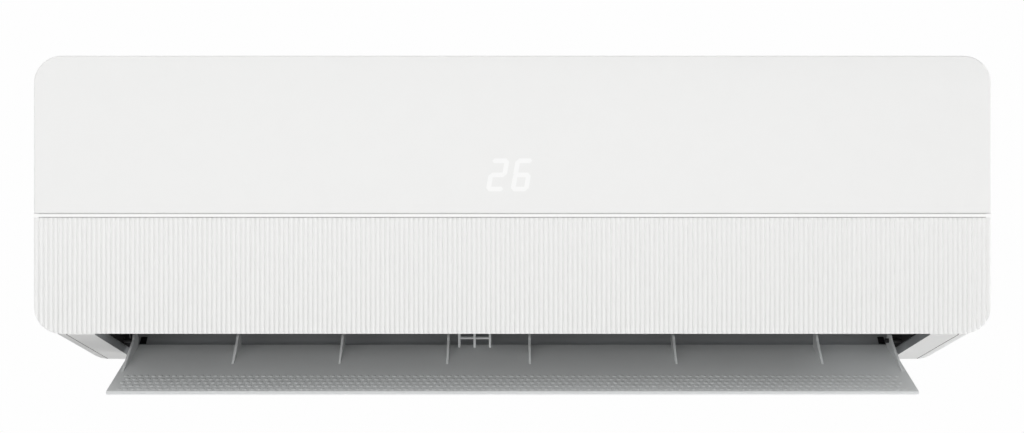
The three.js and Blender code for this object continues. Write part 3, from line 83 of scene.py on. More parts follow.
def galvanised_sheet(tree, place):
    """Hot-dip zinc on steel: frozen crystals some 9 mm across, and edges rubbed brighter in handling."""
    crystals = add(tree, "ShaderNodeTexVoronoi", {"Scale": 1 / (9 * MM)}, {"Vector": place})
    tone = add(tree, "ShaderNodeSeparateColor", {}, {"Color": crystals.outputs["Color"]})
    zinc_tone = add(tree, "ShaderNodeMix", {"data_type": "RGBA", 6: linear("#9da1a4"), 7: linear("#c6cacc")},
                    {0: tone.outputs["Red"]})
    edge = add(tree, "ShaderNodeMapRange", {"From Min": 0.52, "From Max": 0.6},
               {"Value": add(tree, "ShaderNodeNewGeometry").outputs["Pointiness"]})
    colour = add(tree, "ShaderNodeMix", {"data_type": "RGBA", 7: linear("#dcdfe0")},
                 {0: edge.outputs[0], 6: zinc_tone.outputs[2]})
    dull = add(tree, "ShaderNodeMapRange", {"To Min": 0.3, "To Max": 0.5}, {"Value": tone.outputs["Green"]})
    pits = add(tree, "ShaderNodeTexNoise", {"Scale": 1 / (0.9 * MM), "Detail": 2.0}, {"Vector": place})
    bump = add(tree, "ShaderNodeBump", {"Strength": 0.15, "Distance": 0.04 * MM}, {"Height": pits.outputs[0]})
    return add(tree, "ShaderNodeBsdfPrincipled", {"Metallic": 1.0},
               {"Base Color": colour.outputs[2], "Roughness": dull.outputs[0], "Normal": bump.outputs[0]})


SMOOTH_BELOW = math.radians(32)
BEVEL_ABOVE = math.radians(40)


def coat(material, edge, *names):
    """Gives CAD nodes a material, and breaks their sharp edges as the real ones are broken."""
    for name in names:
        mesh = nodes[name].data
        mesh.materials.clear()
        mesh.materials.append(material)
        for polygon in mesh.polygons:
            polygon.use_smooth = True
        mesh.set_sharp_from_angle(angle=SMOOTH_BELOW)
        bevel = nodes[name].modifiers.new("broken_edge", "BEVEL")
        bevel.width = edge * MM
        bevel.segments = 2
        bevel.limit_method = "ANGLE"
        bevel.angle_limit = BEVEL_ABOVE
        bevel.harden_normals = True


SHEARED_EDGE = 0.1
zinc = material_of(galvanised_sheet)
coat(zinc, SHEARED_EDGE, "wall_plate")

# ---- Rear chassis and drain pan --------------------------------------------------------------------
# One large moulding of mid grey high-impact polystyrene: scroll, walls, back and pipe channel.
# The pan under the coil is of the same stock, and its underside is the ceiling of the air duct.


def moulded_grey_polystyrene(tree, place):
    """Moulded high-impact polystyrene: even mid grey, half matt, paler where its edges are rubbed."""
    flow = add(tree, "ShaderNodeTexNoise", {"Scale": 1 / (70 * MM), "Detail": 2.0, "Distortion": 0.8},
               {"Vector": place})
    body = add(tree, "ShaderNodeMix", {"data_type": "RGBA", 6: linear("#838587"), 7: linear("#8c8e90")},
               {0: flow.outputs[0]})
    edge = add(tree, "ShaderNodeMapRange", {"From Min": 0.53, "From Max": 0.62, "To Max": 0.4},
               {"Value": add(tree, "ShaderNodeNewGeometry").outputs["Pointiness"]})
    colour = add(tree, "ShaderNodeMix", {"data_type": "RGBA", 7: linear("#a3a5a7")},
                 {0: edge.outputs[0], 6: body.outputs[2]})
    matt = add(tree, "ShaderNodeMapRange", {"To Min": 0.48, "To Max": 0.62}, {"Value": flow.outputs[0]})
    grain = add(tree, "ShaderNodeTexNoise", {"Scale": 1 / (0.7 * MM), "Detail": 3.0}, {"Vector": place})
    bump = add(tree, "ShaderNodeBump", {"Strength": 0.3, "Distance": 0.03 * MM}, {"Height": grain.outputs[0]})
    return add(tree, "ShaderNodeBsdfPrincipled", {"IOR": 1.59},
               {"Base Color": colour.outputs[2], "Roughness": matt.outputs[0], "Normal": bump.outputs[0]})


MOULDED_EDGE = 0.3
polystyrene = material_of(moulded_grey_polystyrene)
coat(polystyrene, MOULDED_EDGE, "rear_chassis", "drain_pan")

# ---- Painted shade behind the relief slots ---------------------------------------------------------
# Two black pads, drawn as closed-cell foam, behind the slots in the lip of the duct that the end arms of
# the air vane swing into: painted shade, which keeps the slots as dark as deep shade.

UNIT_DEPTH = 200
UNIT_HEIGHT = 267
SLOT_X = 343
SHADE_PAD_HALF_WIDTH = 6
SHADE_PAD_OUTLINE = ((121.6, 12.0), (130.8, 22.5), (133.4, 20.2), (124.2, 9.7))


def spot(x, y, z):
    """A place in metres from millimetres: x from the middle, y from the front, z from the underside."""
    return Vector((x, y - UNIT_DEPTH, z - UNIT_HEIGHT / 2)) * MM


def new_piece(name, points, faces, material, body, slot, sharp=35):
    """A mesh piece that rides on a body of the unit; the slot it is given is not used."""
    mesh = bpy.data.meshes.new(name)
    mesh.from_pydata([tuple(p) for p in points], [], faces)
    mesh.materials.append(material)
    for polygon in mesh.polygons:
        polygon.use_smooth = True
    mesh.set_sharp_from_angle(angle=math.radians(sharp))
    made = bpy.data.objects.new(name, mesh)
    bpy.context.scene.collection.objects.link(made)
    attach(made, body)
    return made


def prism_faces(first, count):
    """Faces of a prism whose lower outline starts at a point number, with the upper one after it."""
    ends = [tuple(first + count - 1 - k for k in range(count)),
            tuple(first + count + k for k in range(count))]
    sides = [(first + k, first + (k + 1) % count) for k in range(count)]
    return ends + [(a, b, b + count, a + count) for a, b in sides]


def painted_shade_foam(tree, place):
    """Black painted shade, drawn as cut neoprene foam: very dull, with open cells 1 mm across on the cut
    face.
    """
    cells = add(tree, "ShaderNodeTexVoronoi", {"Scale": 1 / (1 * MM)}, {"Vector": place})
    colour = add(tree, "ShaderNodeMix", {"data_type": "RGBA", 6: linear("#0b0b0c"), 7: linear("#1d1d1f")},
                 {0: cells.outputs["Distance"]})
    bump = add(tree, "ShaderNodeBump", {"Strength": 0.5, "Distance": 0.2 * MM}, {"Height": cells.outputs[0]})
    return add(tree, "ShaderNodeBsdfPrincipled", {"IOR": 1.5, "Roughness": 0.9},
               {"Base Color": colour.outputs[2], "Normal": bump.outputs[0]})


def slot_shade_pads():
    points, faces = [], []
    for middle in (-SLOT_X, SLOT_X):
        first = len(points)
        for x in (middle - SHADE_PAD_HALF_WIDTH, middle + SHADE_PAD_HALF_WIDTH):
            points += [spot(x, y, z) for y, z in SHADE_PAD_OUTLINE]
        faces += prism_faces(first, len(SHADE_PAD_OUTLINE))
    return points, faces


# Black that stands in for shade: in the relief slots, in the seam round the outlet and on the ends of the
# duct.
shade_foam = material_of(painted_shade_foam)
new_piece("slot_painted_shade", *slot_shade_pads(), shade_foam, "unit", "rubber")

# ---- Coil ------------------------------------------------------------------------------------------
# Corrugated aluminium fins pressed onto copper tubes, in three slabs round the fan, between two
# galvanised end plates. The fins are 0.1 mm thick and 1.3 mm apart in the real coil; they are drawn
# 0.3 mm thick and 1.6 mm apart, so that they show one by one.

FIN_PITCH = 1.6
FIN_THICKNESS = 0.3
FIN_FOLD = 0.35
COIL_LEFT = -331.7
COIL_RIGHT = 256.7
COIL_THICKNESS = 22
SLAB_LINES = {
    "front": ((41, 87), (41, 153)),
    "top": ((47, 162), (101, 226.3)),
    "rear": ((123, 229), (172, 163)),
}


def rolled_aluminium_fins(tree, place):
    """Bare rolled aluminium: bright, with rolling lines a third of a millimetre apart."""
    drawn_out = add(tree, "ShaderNodeMapping", {"Scale": (1, 0.05, 1)}, {"Vector": place})
    lines = add(tree, "ShaderNodeTexNoise", {"Scale": 1 / (0.35 * MM), "Detail": 1.0},
                {"Vector": drawn_out.outputs[0]})
    colour = add(tree, "ShaderNodeMix", {"data_type": "RGBA", 6: linear("#b6babe"), 7: linear("#d7dadd")},
                 {0: lines.outputs[0]})
    bump = add(tree, "ShaderNodeBump", {"Strength": 0.2, "Distance": 0.02 * MM}, {"Height": lines.outputs[0]})
    return add(tree, "ShaderNodeBsdfPrincipled", {"Metallic": 1.0, "Roughness": 0.33},
               {"Base Color": colour.outputs[2], "Normal": bump.outputs[0]})


def slab_place(line, along, off):
    """Place in (y, z) at a distance along a slab's middle line and off it."""
    (y0, z0), (y1, z1) = line
    length = math.dist(*line)
    dy, dz = (y1 - y0) / length, (z1 - z0) / length
    return y0 + dy * along - dz * off, z0 + dz * along + dy * off


def fin_stack(line):
    """Every fin of a slab: a thin strip folded three times across its width."""
    points, faces = [], []
    half = COIL_THICKNESS / 2
    folds = [(-half, -FIN_FOLD), (-half / 3, FIN_FOLD), (half / 3, -FIN_FOLD), (half, FIN_FOLD)]
    for i in range(int((COIL_RIGHT - COIL_LEFT) / FIN_PITCH)):
        x = COIL_LEFT + (i + 0.5) * FIN_PITCH
        first = len(points)
        for side in (-FIN_THICKNESS / 2, FIN_THICKNESS / 2):
            for along in (0, math.dist(*line)):
                points += [spot(x + fold + side, *slab_place(line, along, off)) for off, fold in folds]
        for k in range(3):
            a = first + k
            faces += [(a, a + 1, a + 5, a + 4), (a + 8, a + 12, a + 13, a + 9)]
            faces += [(a, a + 8, a + 9, a + 1), (a + 4, a + 5, a + 13, a + 12)]
        faces.append((first, first + 4, first + 12, first + 8))
        faces.append((first + 3, first + 11, first + 15, first + 7))
    return points, faces


fins = material_of(rolled_aluminium_fins)
for slab, line in SLAB_LINES.items():
    stack = new_piece(f"fins_{slab}", *fin_stack(line), fins, "unit", "fin_aluminium")
    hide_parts(f"coil_{slab}_slab")
coat(zinc, SHEARED_EDGE, "coil_end_plate_left", "coil_end_plate_right")

# ---- Tube bends and pipes --------------------------------------------------------------------------
# Drawn copper tube, 7 mm across, in two rows through the fins. Hairpin bends join the tubes outside
# the end plates, and the gas pipe and liquid pipe run down to the channel behind the chassis.

TUBE_RADIUS = 3.5
ROW = 5.5
PLATE_LEFT = -333.3
PLATE_RIGHT = 258.3
BEND_REACH = 0.9
BEND_STEPS = 12
TUBE_SIDES = 12
HAIRPINS = {
    "front": [(((12, -ROW), (33, -ROW)), PLATE_LEFT), (((12, ROW), (33, ROW)), PLATE_LEFT),
              (((54, -ROW), (54, ROW)), PLATE_LEFT)],
    "top": [(((10.5, -ROW), (31.5, -ROW)), PLATE_LEFT), (((10.5, ROW), (31.5, ROW)), PLATE_LEFT),
            (((52.5, -ROW), (73.5, -ROW)), PLATE_LEFT), (((52.5, ROW), (73.5, ROW)), PLATE_LEFT),
            (((31.5, -ROW), (52.5, -ROW)), PLATE_RIGHT), (((31.5, ROW), (52.5, ROW)), PLATE_RIGHT)],
    "rear": [(((9.6, -ROW), (30.6, -ROW)), PLATE_LEFT), (((9.6, ROW), (30.6, ROW)), PLATE_LEFT),
             (((51.6, -ROW), (72.6, -ROW)), PLATE_LEFT), (((51.6, ROW), (72.6, ROW)), PLATE_LEFT)],
}


def drawn_copper(tree, place):
    """Drawn copper tube: warm and bright, browner in patches where flux and hands have been."""
    tarnish = add(tree, "ShaderNodeTexNoise", {"Scale": 1 / (16 * MM), "Detail": 4.0, "Distortion": 1.0},
                  {"Vector": place})
    colour = add(tree, "ShaderNodeMix", {"data_type": "RGBA", 6: linear("#d08a5f"), 7: linear("#8e5637")},
                 {0: tarnish.outputs[0]})
    dull = add(tree, "ShaderNodeMapRange", {"To Min": 0.18, "To Max": 0.45}, {"Value": tarnish.outputs[0]})
    bump = add(tree, "ShaderNodeBump", {"Strength": 0.1, "Distance": 0.05 * MM},
               {"Height": tarnish.outputs[0]})
    return add(tree, "ShaderNodeBsdfPrincipled", {"Metallic": 1.0},
               {"Base Color": colour.outputs[2], "Roughness": dull.outputs[0], "Normal": bump.outputs[0]})


def hairpin(line, legs, x):
    """A half-round tube bend whose legs stand on an end plate, over two tubes of a slab."""
    (y0, z0), (y1, z1) = (slab_place(line, *leg) for leg in legs)
    reach = math.hypot(y1 - y0, z1 - z0) / 2
    dy, dz = (y1 - y0) / (2 * reach), (z1 - z0) / (2 * reach)
    way = -1 if x < 0 else 1
    points, faces = [], []
    for i in range(BEND_STEPS + 1):
        turn = math.pi * i / BEND_STEPS
        for k in range(TUBE_SIDES):
            round_tube = 2 * math.pi * k / TUBE_SIDES
            radius = reach + TUBE_RADIUS * math.cos(round_tube)
            along, off = radius * math.cos(turn), TUBE_RADIUS * math.sin(round_tube)
            points.append(spot(x + way * radius * BEND_REACH * math.sin(turn),
                               (y0 + y1) / 2 - dy * along - dz * off,
                               (z0 + z1) / 2 - dz * along + dy * off))
    for i in range(BEND_STEPS):
        for k in range(TUBE_SIDES):
            a, b = i * TUBE_SIDES + k, i * TUBE_SIDES + (k + 1) % TUBE_SIDES
            c, d = a + TUBE_SIDES, b + TUBE_SIDES
            faces.append((a, c, d, b) if way < 0 else (a, b, d, c))
    return points, faces


copper = material_of(drawn_copper)
for slab, bends in HAIRPINS.items():
    points, faces = [], []
    for legs, x in bends:
        more_points, more_faces = hairpin(SLAB_LINES[slab], legs, x)
        faces += [tuple(len(points) + i for i in face) for face in more_faces]
        points += more_points
    bend_set = new_piece(f"hairpins_{slab}", points, faces, copper, "unit", "copper")
    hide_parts(f"return_bend_{slab}")
coat(copper, MOULDED_EDGE, "gas_pipe", "liquid_pipe")

# ---- Flare nuts ------------------------------------------------------------------------------------
# Forged brass nuts, loose on the flared ends of the two pipes, turned on the nose and milled on the
# flats. They wait for the line set, which isn't part of the unit.


def turned_brass(tree, place):
    """Turned brass: yellow and bright, with the rings of the tool 0.4 mm apart round the axis."""
    rings = add(tree, "ShaderNodeTexWave", {"Scale": math.pi / 10 / (0.4 * MM)}, {"Vector": place})
    stain = add(tree, "ShaderNodeTexNoise", {"Scale": 1 / (6 * MM), "Detail": 3.0}, {"Vector": place})
    colour = add(tree, "ShaderNodeMix", {"data_type": "RGBA", 6: linear("#cdae66"), 7: linear("#a8873f")},
                 {0: stain.outputs[0]})
    bump = add(tree, "ShaderNodeBump", {"Strength": 0.25, "Distance": 0.04 * MM},
               {"Height": rings.outputs[1]})
    return add(tree, "ShaderNodeBsdfPrincipled", {"Metallic": 1.0, "Roughness": 0.28},
               {"Base Color": colour.outputs[2], "Normal": bump.outputs[0]})


brass = material_of(turned_brass)
coat(brass, MOULDED_EDGE, "gas_flare_nut", "liquid_flare_nut")

# ---- Fan -------------------------------------------------------------------------------------------
# Cross-flow wheel of glass-filled styrene, moulded in bays that are welded end to end. At the left it
# runs in a sintered bronze bush, which sits in a rubber ring in the duct's end wall.


def glass_filled_styrene(tree, place):
    """Glass-filled styrene: dark grey and dull, with short paler streaks where the fibres lie."""
    drawn_out = add(tree, "ShaderNodeMapping", {"Scale": (0.12, 1, 1)}, {"Vector": place})
    fibres = add(tree, "ShaderNodeTexNoise", {"Scale": 1 / (0.8 * MM), "Detail": 3.0},
                 {"Vector": drawn_out.outputs[0]})
    colour = add(tree, "ShaderNodeMix", {"data_type": "RGBA", 6: linear("#343638"), 7: linear("#4a4d50")},
                 {0: fibres.outputs[0]})
    bump = add(tree, "ShaderNodeBump", {"Strength": 0.35, "Distance": 0.05 * MM},
               {"Height": fibres.outputs[0]})
    return add(tree, "ShaderNodeBsdfPrincipled", {"IOR": 1.57, "Roughness": 0.55},
               {"Base Color": colour.outputs[2], "Normal": bump.outputs[0]})


def sintered_bronze(tree, place):
    """Pressed and sintered bronze powder: brown gold, with oil in pores half a millimetre apart."""
    pores = add(tree, "ShaderNodeTexVoronoi", {"Scale": 1 / (0.5 * MM)}, {"Vector": place})
    colour = add(tree, "ShaderNodeMix", {"data_type": "RGBA", 6: linear("#5f4c26"), 7: linear("#a88c50")},
                 {0: pores.outputs["Distance"]})
    bump = add(tree, "ShaderNodeBump", {"Strength": 0.4, "Distance": 0.05 * MM}, {"Height": pores.outputs[0]})
    return add(tree, "ShaderNodeBsdfPrincipled", {"Metallic": 1.0, "Roughness": 0.42},
               {"Base Color": colour.outputs[2], "Normal": bump.outputs[0]})


def moulded_neoprene(tree, place):
    """Compression-moulded neoprene: black, dull, with a slight grey bloom."""
    bloom = add(tree, "ShaderNodeTexNoise", {"Scale": 1 / (5 * MM), "Detail": 4.0}, {"Vector": place})
    colour = add(tree, "ShaderNodeMix", {"data_type": "RGBA", 6: linear("#161617"), 7: linear("#2a2a2b")},
                 {0: bloom.outputs[0]})
    bump = add(tree, "ShaderNodeBump", {"Strength": 0.3, "Distance": 0.05 * MM}, {"Height": bloom.outputs[0]})
    return add(tree, "ShaderNodeBsdfPrincipled", {"IOR": 1.52, "Roughness": 0.8},
               {"Base Color": colour.outputs[2], "Normal": bump.outputs[0]})


THIN_EDGE = 0.12
coat(material_of(glass_filled_styrene), THIN_EDGE, "fan_wheel")
coat(material_of(sintered_bronze), MOULDED_EDGE, "fan_bearing")
coat(material_of(moulded_neoprene), MOULDED_EDGE, "bearing_rubber")

# ---- Motors ----------------------------------------------------------------------------------------
# The fan motor and the two small geared motors have cans deep-drawn from bright zinc-plated steel. A
# nylon strap holds the fan motor in its cradle, and its ground steel shaft drives the wheel.


def zinc_plated_can(tree, place):
    """Bright zinc on deep-drawn steel: bluish and clean, with fine drawing lines along the can."""
    drawn_out = add(tree, "ShaderNodeMapping", {"Scale": (0.06, 1, 1)}, {"Vector": place})
    lines = add(tree, "ShaderNodeTexNoise", {"Scale": 1 / (0.6 * MM), "Detail": 2.0},
                {"Vector": drawn_out.outputs[0]})
    colour = add(tree, "ShaderNodeMix", {"data_type": "RGBA", 6: linear("#aeb4ba"), 7: linear("#c9ced3")},
                 {0: lines.outputs[0]})
    dull = add(tree, "ShaderNodeMapRange", {"To Min": 0.22, "To Max": 0.38}, {"Value": lines.outputs[0]})
    return add(tree, "ShaderNodeBsdfPrincipled", {"Metallic": 1.0},
               {"Base Color": colour.outputs[2], "Roughness": dull.outputs[0]})


def natural_nylon(tree, place):
    """Moulded natural nylon: milky white, lets a little light in, waxy on the surface."""
    cloud = add(tree, "ShaderNodeTexNoise", {"Scale": 1 / (12 * MM), "Detail": 2.0}, {"Vector": place})
    colour = add(tree, "ShaderNodeMix", {"data_type": "RGBA", 6: linear("#d5d3c8"), 7: linear("#c6c4b8")},
                 {0: cloud.outputs[0]})
    return add(tree, "ShaderNodeBsdfPrincipled",
               {"IOR": 1.53, "Roughness": 0.4, "Subsurface Weight": 0.15, "Subsurface Scale": 1.5 * MM},
               {"Base Color": colour.outputs[2]})


can_steel = material_of(zinc_plated_can)
nylon = material_of(natural_nylon)
coat(can_steel, MOULDED_EDGE, "fan_motor", "motor_shaft", "swing_motor", "vane_motor")
coat(nylon, MOULDED_EDGE, "motor_clamp", "swing_crank")

# ---- Swing louvres ---------------------------------------------------------------------------------
# Ten dark polypropylene blades on a rail under the duct's ceiling. A bar of the same stock couples
# them to the crank, so that all of them swing together.


def dark_polypropylene(tree, place):
    """Moulded polypropylene: nearly black, with the soft waxy sheen of the bare plastic."""
    flow = add(tree, "ShaderNodeTexNoise", {"Scale": 1 / (15 * MM), "Detail": 3.0, "Distortion": 0.5},
               {"Vector": place})
    colour = add(tree, "ShaderNodeMix", {"data_type": "RGBA", 6: linear("#1e2021"), 7: linear("#2b2d2e")},
                 {0: flow.outputs[0]})
    bump = add(tree, "ShaderNodeBump", {"Strength": 0.15, "Distance": 0.05 * MM}, {"Height": flow.outputs[0]})
    return add(tree, "ShaderNodeBsdfPrincipled", {"IOR": 1.49, "Roughness": 0.42},
               {"Base Color": colour.outputs[2], "Normal": bump.outputs[0]})


LOUVRES = [f"louvre_{number:02d}" for number in range(1, 11)]
polypropylene = material_of(dark_polypropylene)
coat(polypropylene, THIN_EDGE, "louvre_rail", "link_bar", *LOUVRES)

# ---- Casing, outlet frame and grille ---------------------------------------------------------------
# White ABS mouldings: front housing, slanted outlet frame and the intake grille in the top. Their faces
# have the fine grain of a spark-eroded mould. The inner walls of the outlet get the duct's grey as painted
# shade. Black, drawn as foam, is painted shade on the two ends of the duct and on the walls of the seam
# round the outlet frame.

TIGHT_EDGE = 0.15
OUTLET_WALL_X = (340, 372)
SEAM_X = (375.5, 377.5)
SEAM_TOP = 50
DUCT_END_X = (344, 366)
DUCT_END_TOP = 80
SIDEWAYS = 0.8  # least share of a normal across the unit, on a face that looks sideways


def grained_white_abs(tree, place):
    """Moulded ABS off a spark-eroded mould: white, evenly matt, grain half a millimetre across."""
    flow = add(tree, "ShaderNodeTexNoise", {"Scale": 1 / (90 * MM), "Detail": 2.0}, {"Vector": place})
    colour = add(tree, "ShaderNodeMix", {"data_type": "RGBA", 6: linear("#e4e4e3"), 7: linear("#e9e9e8")},
                 {0: flow.outputs[0]})
    edge = add(tree, "ShaderNodeMapRange",
               {"From Min": 0.52, "From Max": 0.6, "To Min": 0.46, "To Max": 0.36},
               {"Value": add(tree, "ShaderNodeNewGeometry").outputs["Pointiness"]})
    grain = add(tree, "ShaderNodeTexVoronoi", {"Scale": 1 / (0.5 * MM), "feature": "SMOOTH_F1"},
                {"Vector": place})
    bump = add(tree, "ShaderNodeBump", {"Strength": 0.25, "Distance": 0.03 * MM},
               {"Height": grain.outputs[0]})
    return add(tree, "ShaderNodeBsdfPrincipled", {"IOR": 1.53},
               {"Base Color": colour.outputs[2], "Roughness": edge.outputs[0], "Normal": bump.outputs[0]})


def recoat(name, material, chosen):
    """Gives the faces of a node that a test picks, by place in millimetres and normal, a material."""
    mesh = nodes[name].data
    mesh.materials.append(material)
    for polygon in mesh.polygons:
        x, y, z = polygon.center / MM + Vector((0, UNIT_DEPTH, UNIT_HEIGHT / 2))
        if chosen(x, y, z, polygon.normal):
            polygon.material_index = len(mesh.materials) - 1


# Inner walls of the outlet, which get the duct's grey as painted shade.
def on_outlet_wall(x, y, z, normal):
    return OUTLET_WALL_X[0] < abs(x) < OUTLET_WALL_X[1] and normal.x * x < 0 and abs(normal.x) > SIDEWAYS


# Walls of the seam round the outlet frame, which get black as painted shade.
def in_seam(x, y, z, normal):
    return SEAM_X[0] < abs(x) < SEAM_X[1] and z < SEAM_TOP and abs(normal.x) > SIDEWAYS


# Inner faces of the duct's ends, which get black as painted shade.
def on_duct_end(x, y, z, normal):
    inwards = normal.x * x < -SIDEWAYS * abs(x)
    return DUCT_END_X[0] < abs(x) < DUCT_END_X[1] and z < DUCT_END_TOP and inwards


casing_abs = material_of(grained_white_abs)
coat(casing_abs, TIGHT_EDGE, "front_casing", "outlet_frame")
coat(casing_abs, MOULDED_EDGE, "intake_grille", "auto_button", "panel_carrier")
# Painted shade: the duct's grey on the outlet's inner walls, where the white moulding lies in shade.
recoat("outlet_frame", polystyrene, on_outlet_wall)
# Painted shade: black on the walls of the seam, on the frame and on the casing.
recoat("outlet_frame", shade_foam, in_seam)
recoat("front_casing", shade_foam, in_seam)
# Painted shade: black on the two ends of the duct inside the chassis.
recoat("rear_chassis", shade_foam, on_duct_end)

# ---- Air vane --------------------------------------------------------------------------------------
# Grey ABS blade on arms that turn about a black acetal pin and coupling in the duct's walls. Rows of
# low domes along its front edge break up the air film, so that no dew gathers there.

DOME_PITCH = 6.0
DOME_ROWS = 5
DOME_RADIUS = 2.2
DOME_HEIGHT = 0.4
DOME_SPAN = 340
DOME_SINK = 0.05
DOME_SETBACK = 4.5
DOME_SIDES = 10
DOME_RINGS = 3
VANE_PIVOT = (96, 19.69)
VANE_TILT = math.radians(20.63)
VANE_INNER_FACE = -7.8
VANE_FRONT = -82.2
PIN_REACH = 2.6
PIN_START = -344


def grained_grey_abs(tree, place):
    """Moulded grey ABS: neutral, matt, a shade lighter where it flowed thin."""
    flow = add(tree, "ShaderNodeTexNoise", {"Scale": 1 / (80 * MM), "Detail": 2.0}, {"Vector": place})
    colour = add(tree, "ShaderNodeMix", {"data_type": "RGBA", 6: linear("#d6d8d8"), 7: linear("#dcdede")},
                 {0: flow.outputs[0]})
    grain = add(tree, "ShaderNodeTexNoise", {"Scale": 1 / (0.6 * MM), "Detail": 2.0}, {"Vector": place})
    bump = add(tree, "ShaderNodeBump", {"Strength": 0.25, "Distance": 0.03 * MM},
               {"Height": grain.outputs[0]})
    return add(tree, "ShaderNodeBsdfPrincipled", {"IOR": 1.53, "Roughness": 0.5},
               {"Base Color": colour.outputs[2], "Normal": bump.outputs[0]})


def black_acetal(tree, place):
    """Moulded acetal: black, slippery and half glossy, with faint polished rings from running."""
    rings = add(tree, "ShaderNodeTexWave", {"Scale": math.pi / 10 / (1 * MM)}, {"Vector": place})
    colour = add(tree, "ShaderNodeMix", {"data_type": "RGBA", 6: linear("#141415"), 7: linear("#1f1f20")},
                 {0: rings.outputs["Fac"]})
    return add(tree, "ShaderNodeBsdfPrincipled", {"IOR": 1.48, "Roughness": 0.4},
               {"Base Color": colour.outputs[2]})


def on_vane(x, back, up):
    """A place on the vane from its pivot: back along the blade, and up from it."""
    y = VANE_PIVOT[0] + back * math.cos(VANE_TILT) - up * math.sin(VANE_TILT)
    z = VANE_PIVOT[1] + back * math.sin(VANE_TILT) + up * math.cos(VANE_TILT)
    return spot(x, y, z)


def dome(x, back, first):
    """A low round dome on the upper face of the blade, whose points count from a first number."""
    points, faces = [], []
    for ring in range(DOME_RINGS):
        tilt = ring / DOME_RINGS * math.pi / 2
        radius = DOME_RADIUS * math.cos(tilt)
        up = VANE_INNER_FACE + DOME_HEIGHT * math.sin(tilt) - DOME_SINK
        for k in range(DOME_SIDES):
            turn = 2 * math.pi * k / DOME_SIDES
            points.append(on_vane(x + radius * math.cos(turn), back + radius * math.sin(turn), up))
    points.append(on_vane(x, back, VANE_INNER_FACE + DOME_HEIGHT - DOME_SINK))
    top = first + DOME_SIDES * DOME_RINGS
    for ring in range(DOME_RINGS):
        start = first + ring * DOME_SIDES
        for k in range(DOME_SIDES):
            a, b = start + k, start + (k + 1) % DOME_SIDES
            faces.append((a, b, b + DOME_SIDES, a + DOME_SIDES) if ring < DOME_RINGS - 1 else (a, b, top))
    return points, faces


def dome_rows():
    """Staggered rows of domes along the front edge of the blade."""
    points, faces = [], []
    for row in range(DOME_ROWS):
        back = VANE_FRONT + DOME_SETBACK + row * DOME_PITCH
        for i in range(int(2 * DOME_SPAN / DOME_PITCH) - row % 2):
            x = -DOME_SPAN + (i + 0.5 + (row % 2) / 2) * DOME_PITCH
            more_points, more_faces = dome(x, back, len(points))
            points += more_points
            faces += more_faces
    return points, faces


def on_pin(x, y, z, normal):
    return x < PIN_START and math.dist((y, z), VANE_PIVOT) < PIN_REACH


vane_abs = material_of(grained_grey_abs)
acetal = material_of(black_acetal)
coat(vane_abs, MOULDED_EDGE, "vane", "vane_clip")
recoat("vane", acetal, on_pin)
coat(acetal, MOULDED_EDGE, "vane_coupling")
new_piece("vane_domes", *dome_rows(), vane_abs, "air_vane", "vane_grey")

# ---- Filters ---------------------------------------------------------------------------------------
# Two light grey polypropylene frames that slide in from the top, each with a black nylon net welded
# behind it. The net's threads are 0.2 mm thick and 0.7 mm apart in the real one; they are drawn
# thicker and 1.8 mm apart, so that they show.

NET_PITCH = 1.8
NET_THREAD = 0.4


def grey_polypropylene(tree, place):
    """Moulded polypropylene: pale blue grey, waxy, thin enough to let some light through."""
    flow = add(tree, "ShaderNodeTexNoise", {"Scale": 1 / (30 * MM), "Detail": 2.0}, {"Vector": place})
    colour = add(tree, "ShaderNodeMix", {"data_type": "RGBA", 6: linear("#bcc3c7"), 7: linear("#c9cfd2")},
                 {0: flow.outputs[0]})
    return add(tree, "ShaderNodeBsdfPrincipled",
               {"IOR": 1.49, "Roughness": 0.42, "Subsurface Weight": 0.1, "Subsurface Scale": 1.0 * MM},
               {"Base Color": colour.outputs[2]})


def nylon_monofilament(tree, place):
    """Black nylon monofilament: dark, with a narrow gloss along each thread and a little dust."""
    dust = add(tree, "ShaderNodeTexNoise", {"Scale": 1 / (8 * MM), "Detail": 3.0}, {"Vector": place})
    colour = add(tree, "ShaderNodeMix", {"data_type": "RGBA", 6: linear("#101112"), 7: linear("#26282a")},
                 {0: dust.outputs[0]})
    return add(tree, "ShaderNodeBsdfPrincipled", {"IOR": 1.53, "Roughness": 0.3},
               {"Base Color": colour.outputs[2]})


def net_thread(start, end, across, first):
    """One straight thread with four sides, whose points count from a first number."""
    depth = Vector((0, NET_THREAD / 2 * MM, 0))
    points = []
    for place in (start, end):
        points += [place - across, place - depth, place + across, place + depth]
    return points, prism_faces(first, 4)


def net_mesh(node):
    """Upright and level threads that fill a net's box, the level ones just behind the others."""
    low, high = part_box(node)
    half = NET_THREAD / 2 * MM
    pitch = NET_PITCH * MM
    middle = (low.y + high.y) / 2
    lines = []
    for i in range(int((high.x - low.x) / pitch)):
        x = low.x + (i + 0.5) * pitch
        y = middle - half / 2
        lines.append((Vector((x, y, low.z)), Vector((x, y, high.z)), Vector((half, 0, 0))))
    for i in range(int((high.z - low.z) / pitch)):
        z = low.z + (i + 0.5) * pitch
        y = middle + half / 2
        lines.append((Vector((low.x, y, z)), Vector((high.x, y, z)), Vector((0, 0, half))))
    points, faces = [], []
    for start, end, across in lines:
        more_points, more_faces = net_thread(start, end, across, len(points))
        points += more_points
        faces += more_faces
    return points, faces


threads = material_of(nylon_monofilament)
for side in ("left", "right"):
    net = new_piece(f"net_{side}", *net_mesh(f"filter_net_{side}"), threads, f"filter_{side}", "net_black")
    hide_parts(f"filter_net_{side}")
coat(material_of(grey_polypropylene), MOULDED_EDGE, "filter_frame_left", "filter_frame_right")

# ---- Controls --------------------------------------------------------------------------------------
# Circuit board in a box of flame-retardant ABS, terminal block of black phenolic below it, and a
# louvred steel lid in front, held by two screws. A second, small board sits behind the readout.

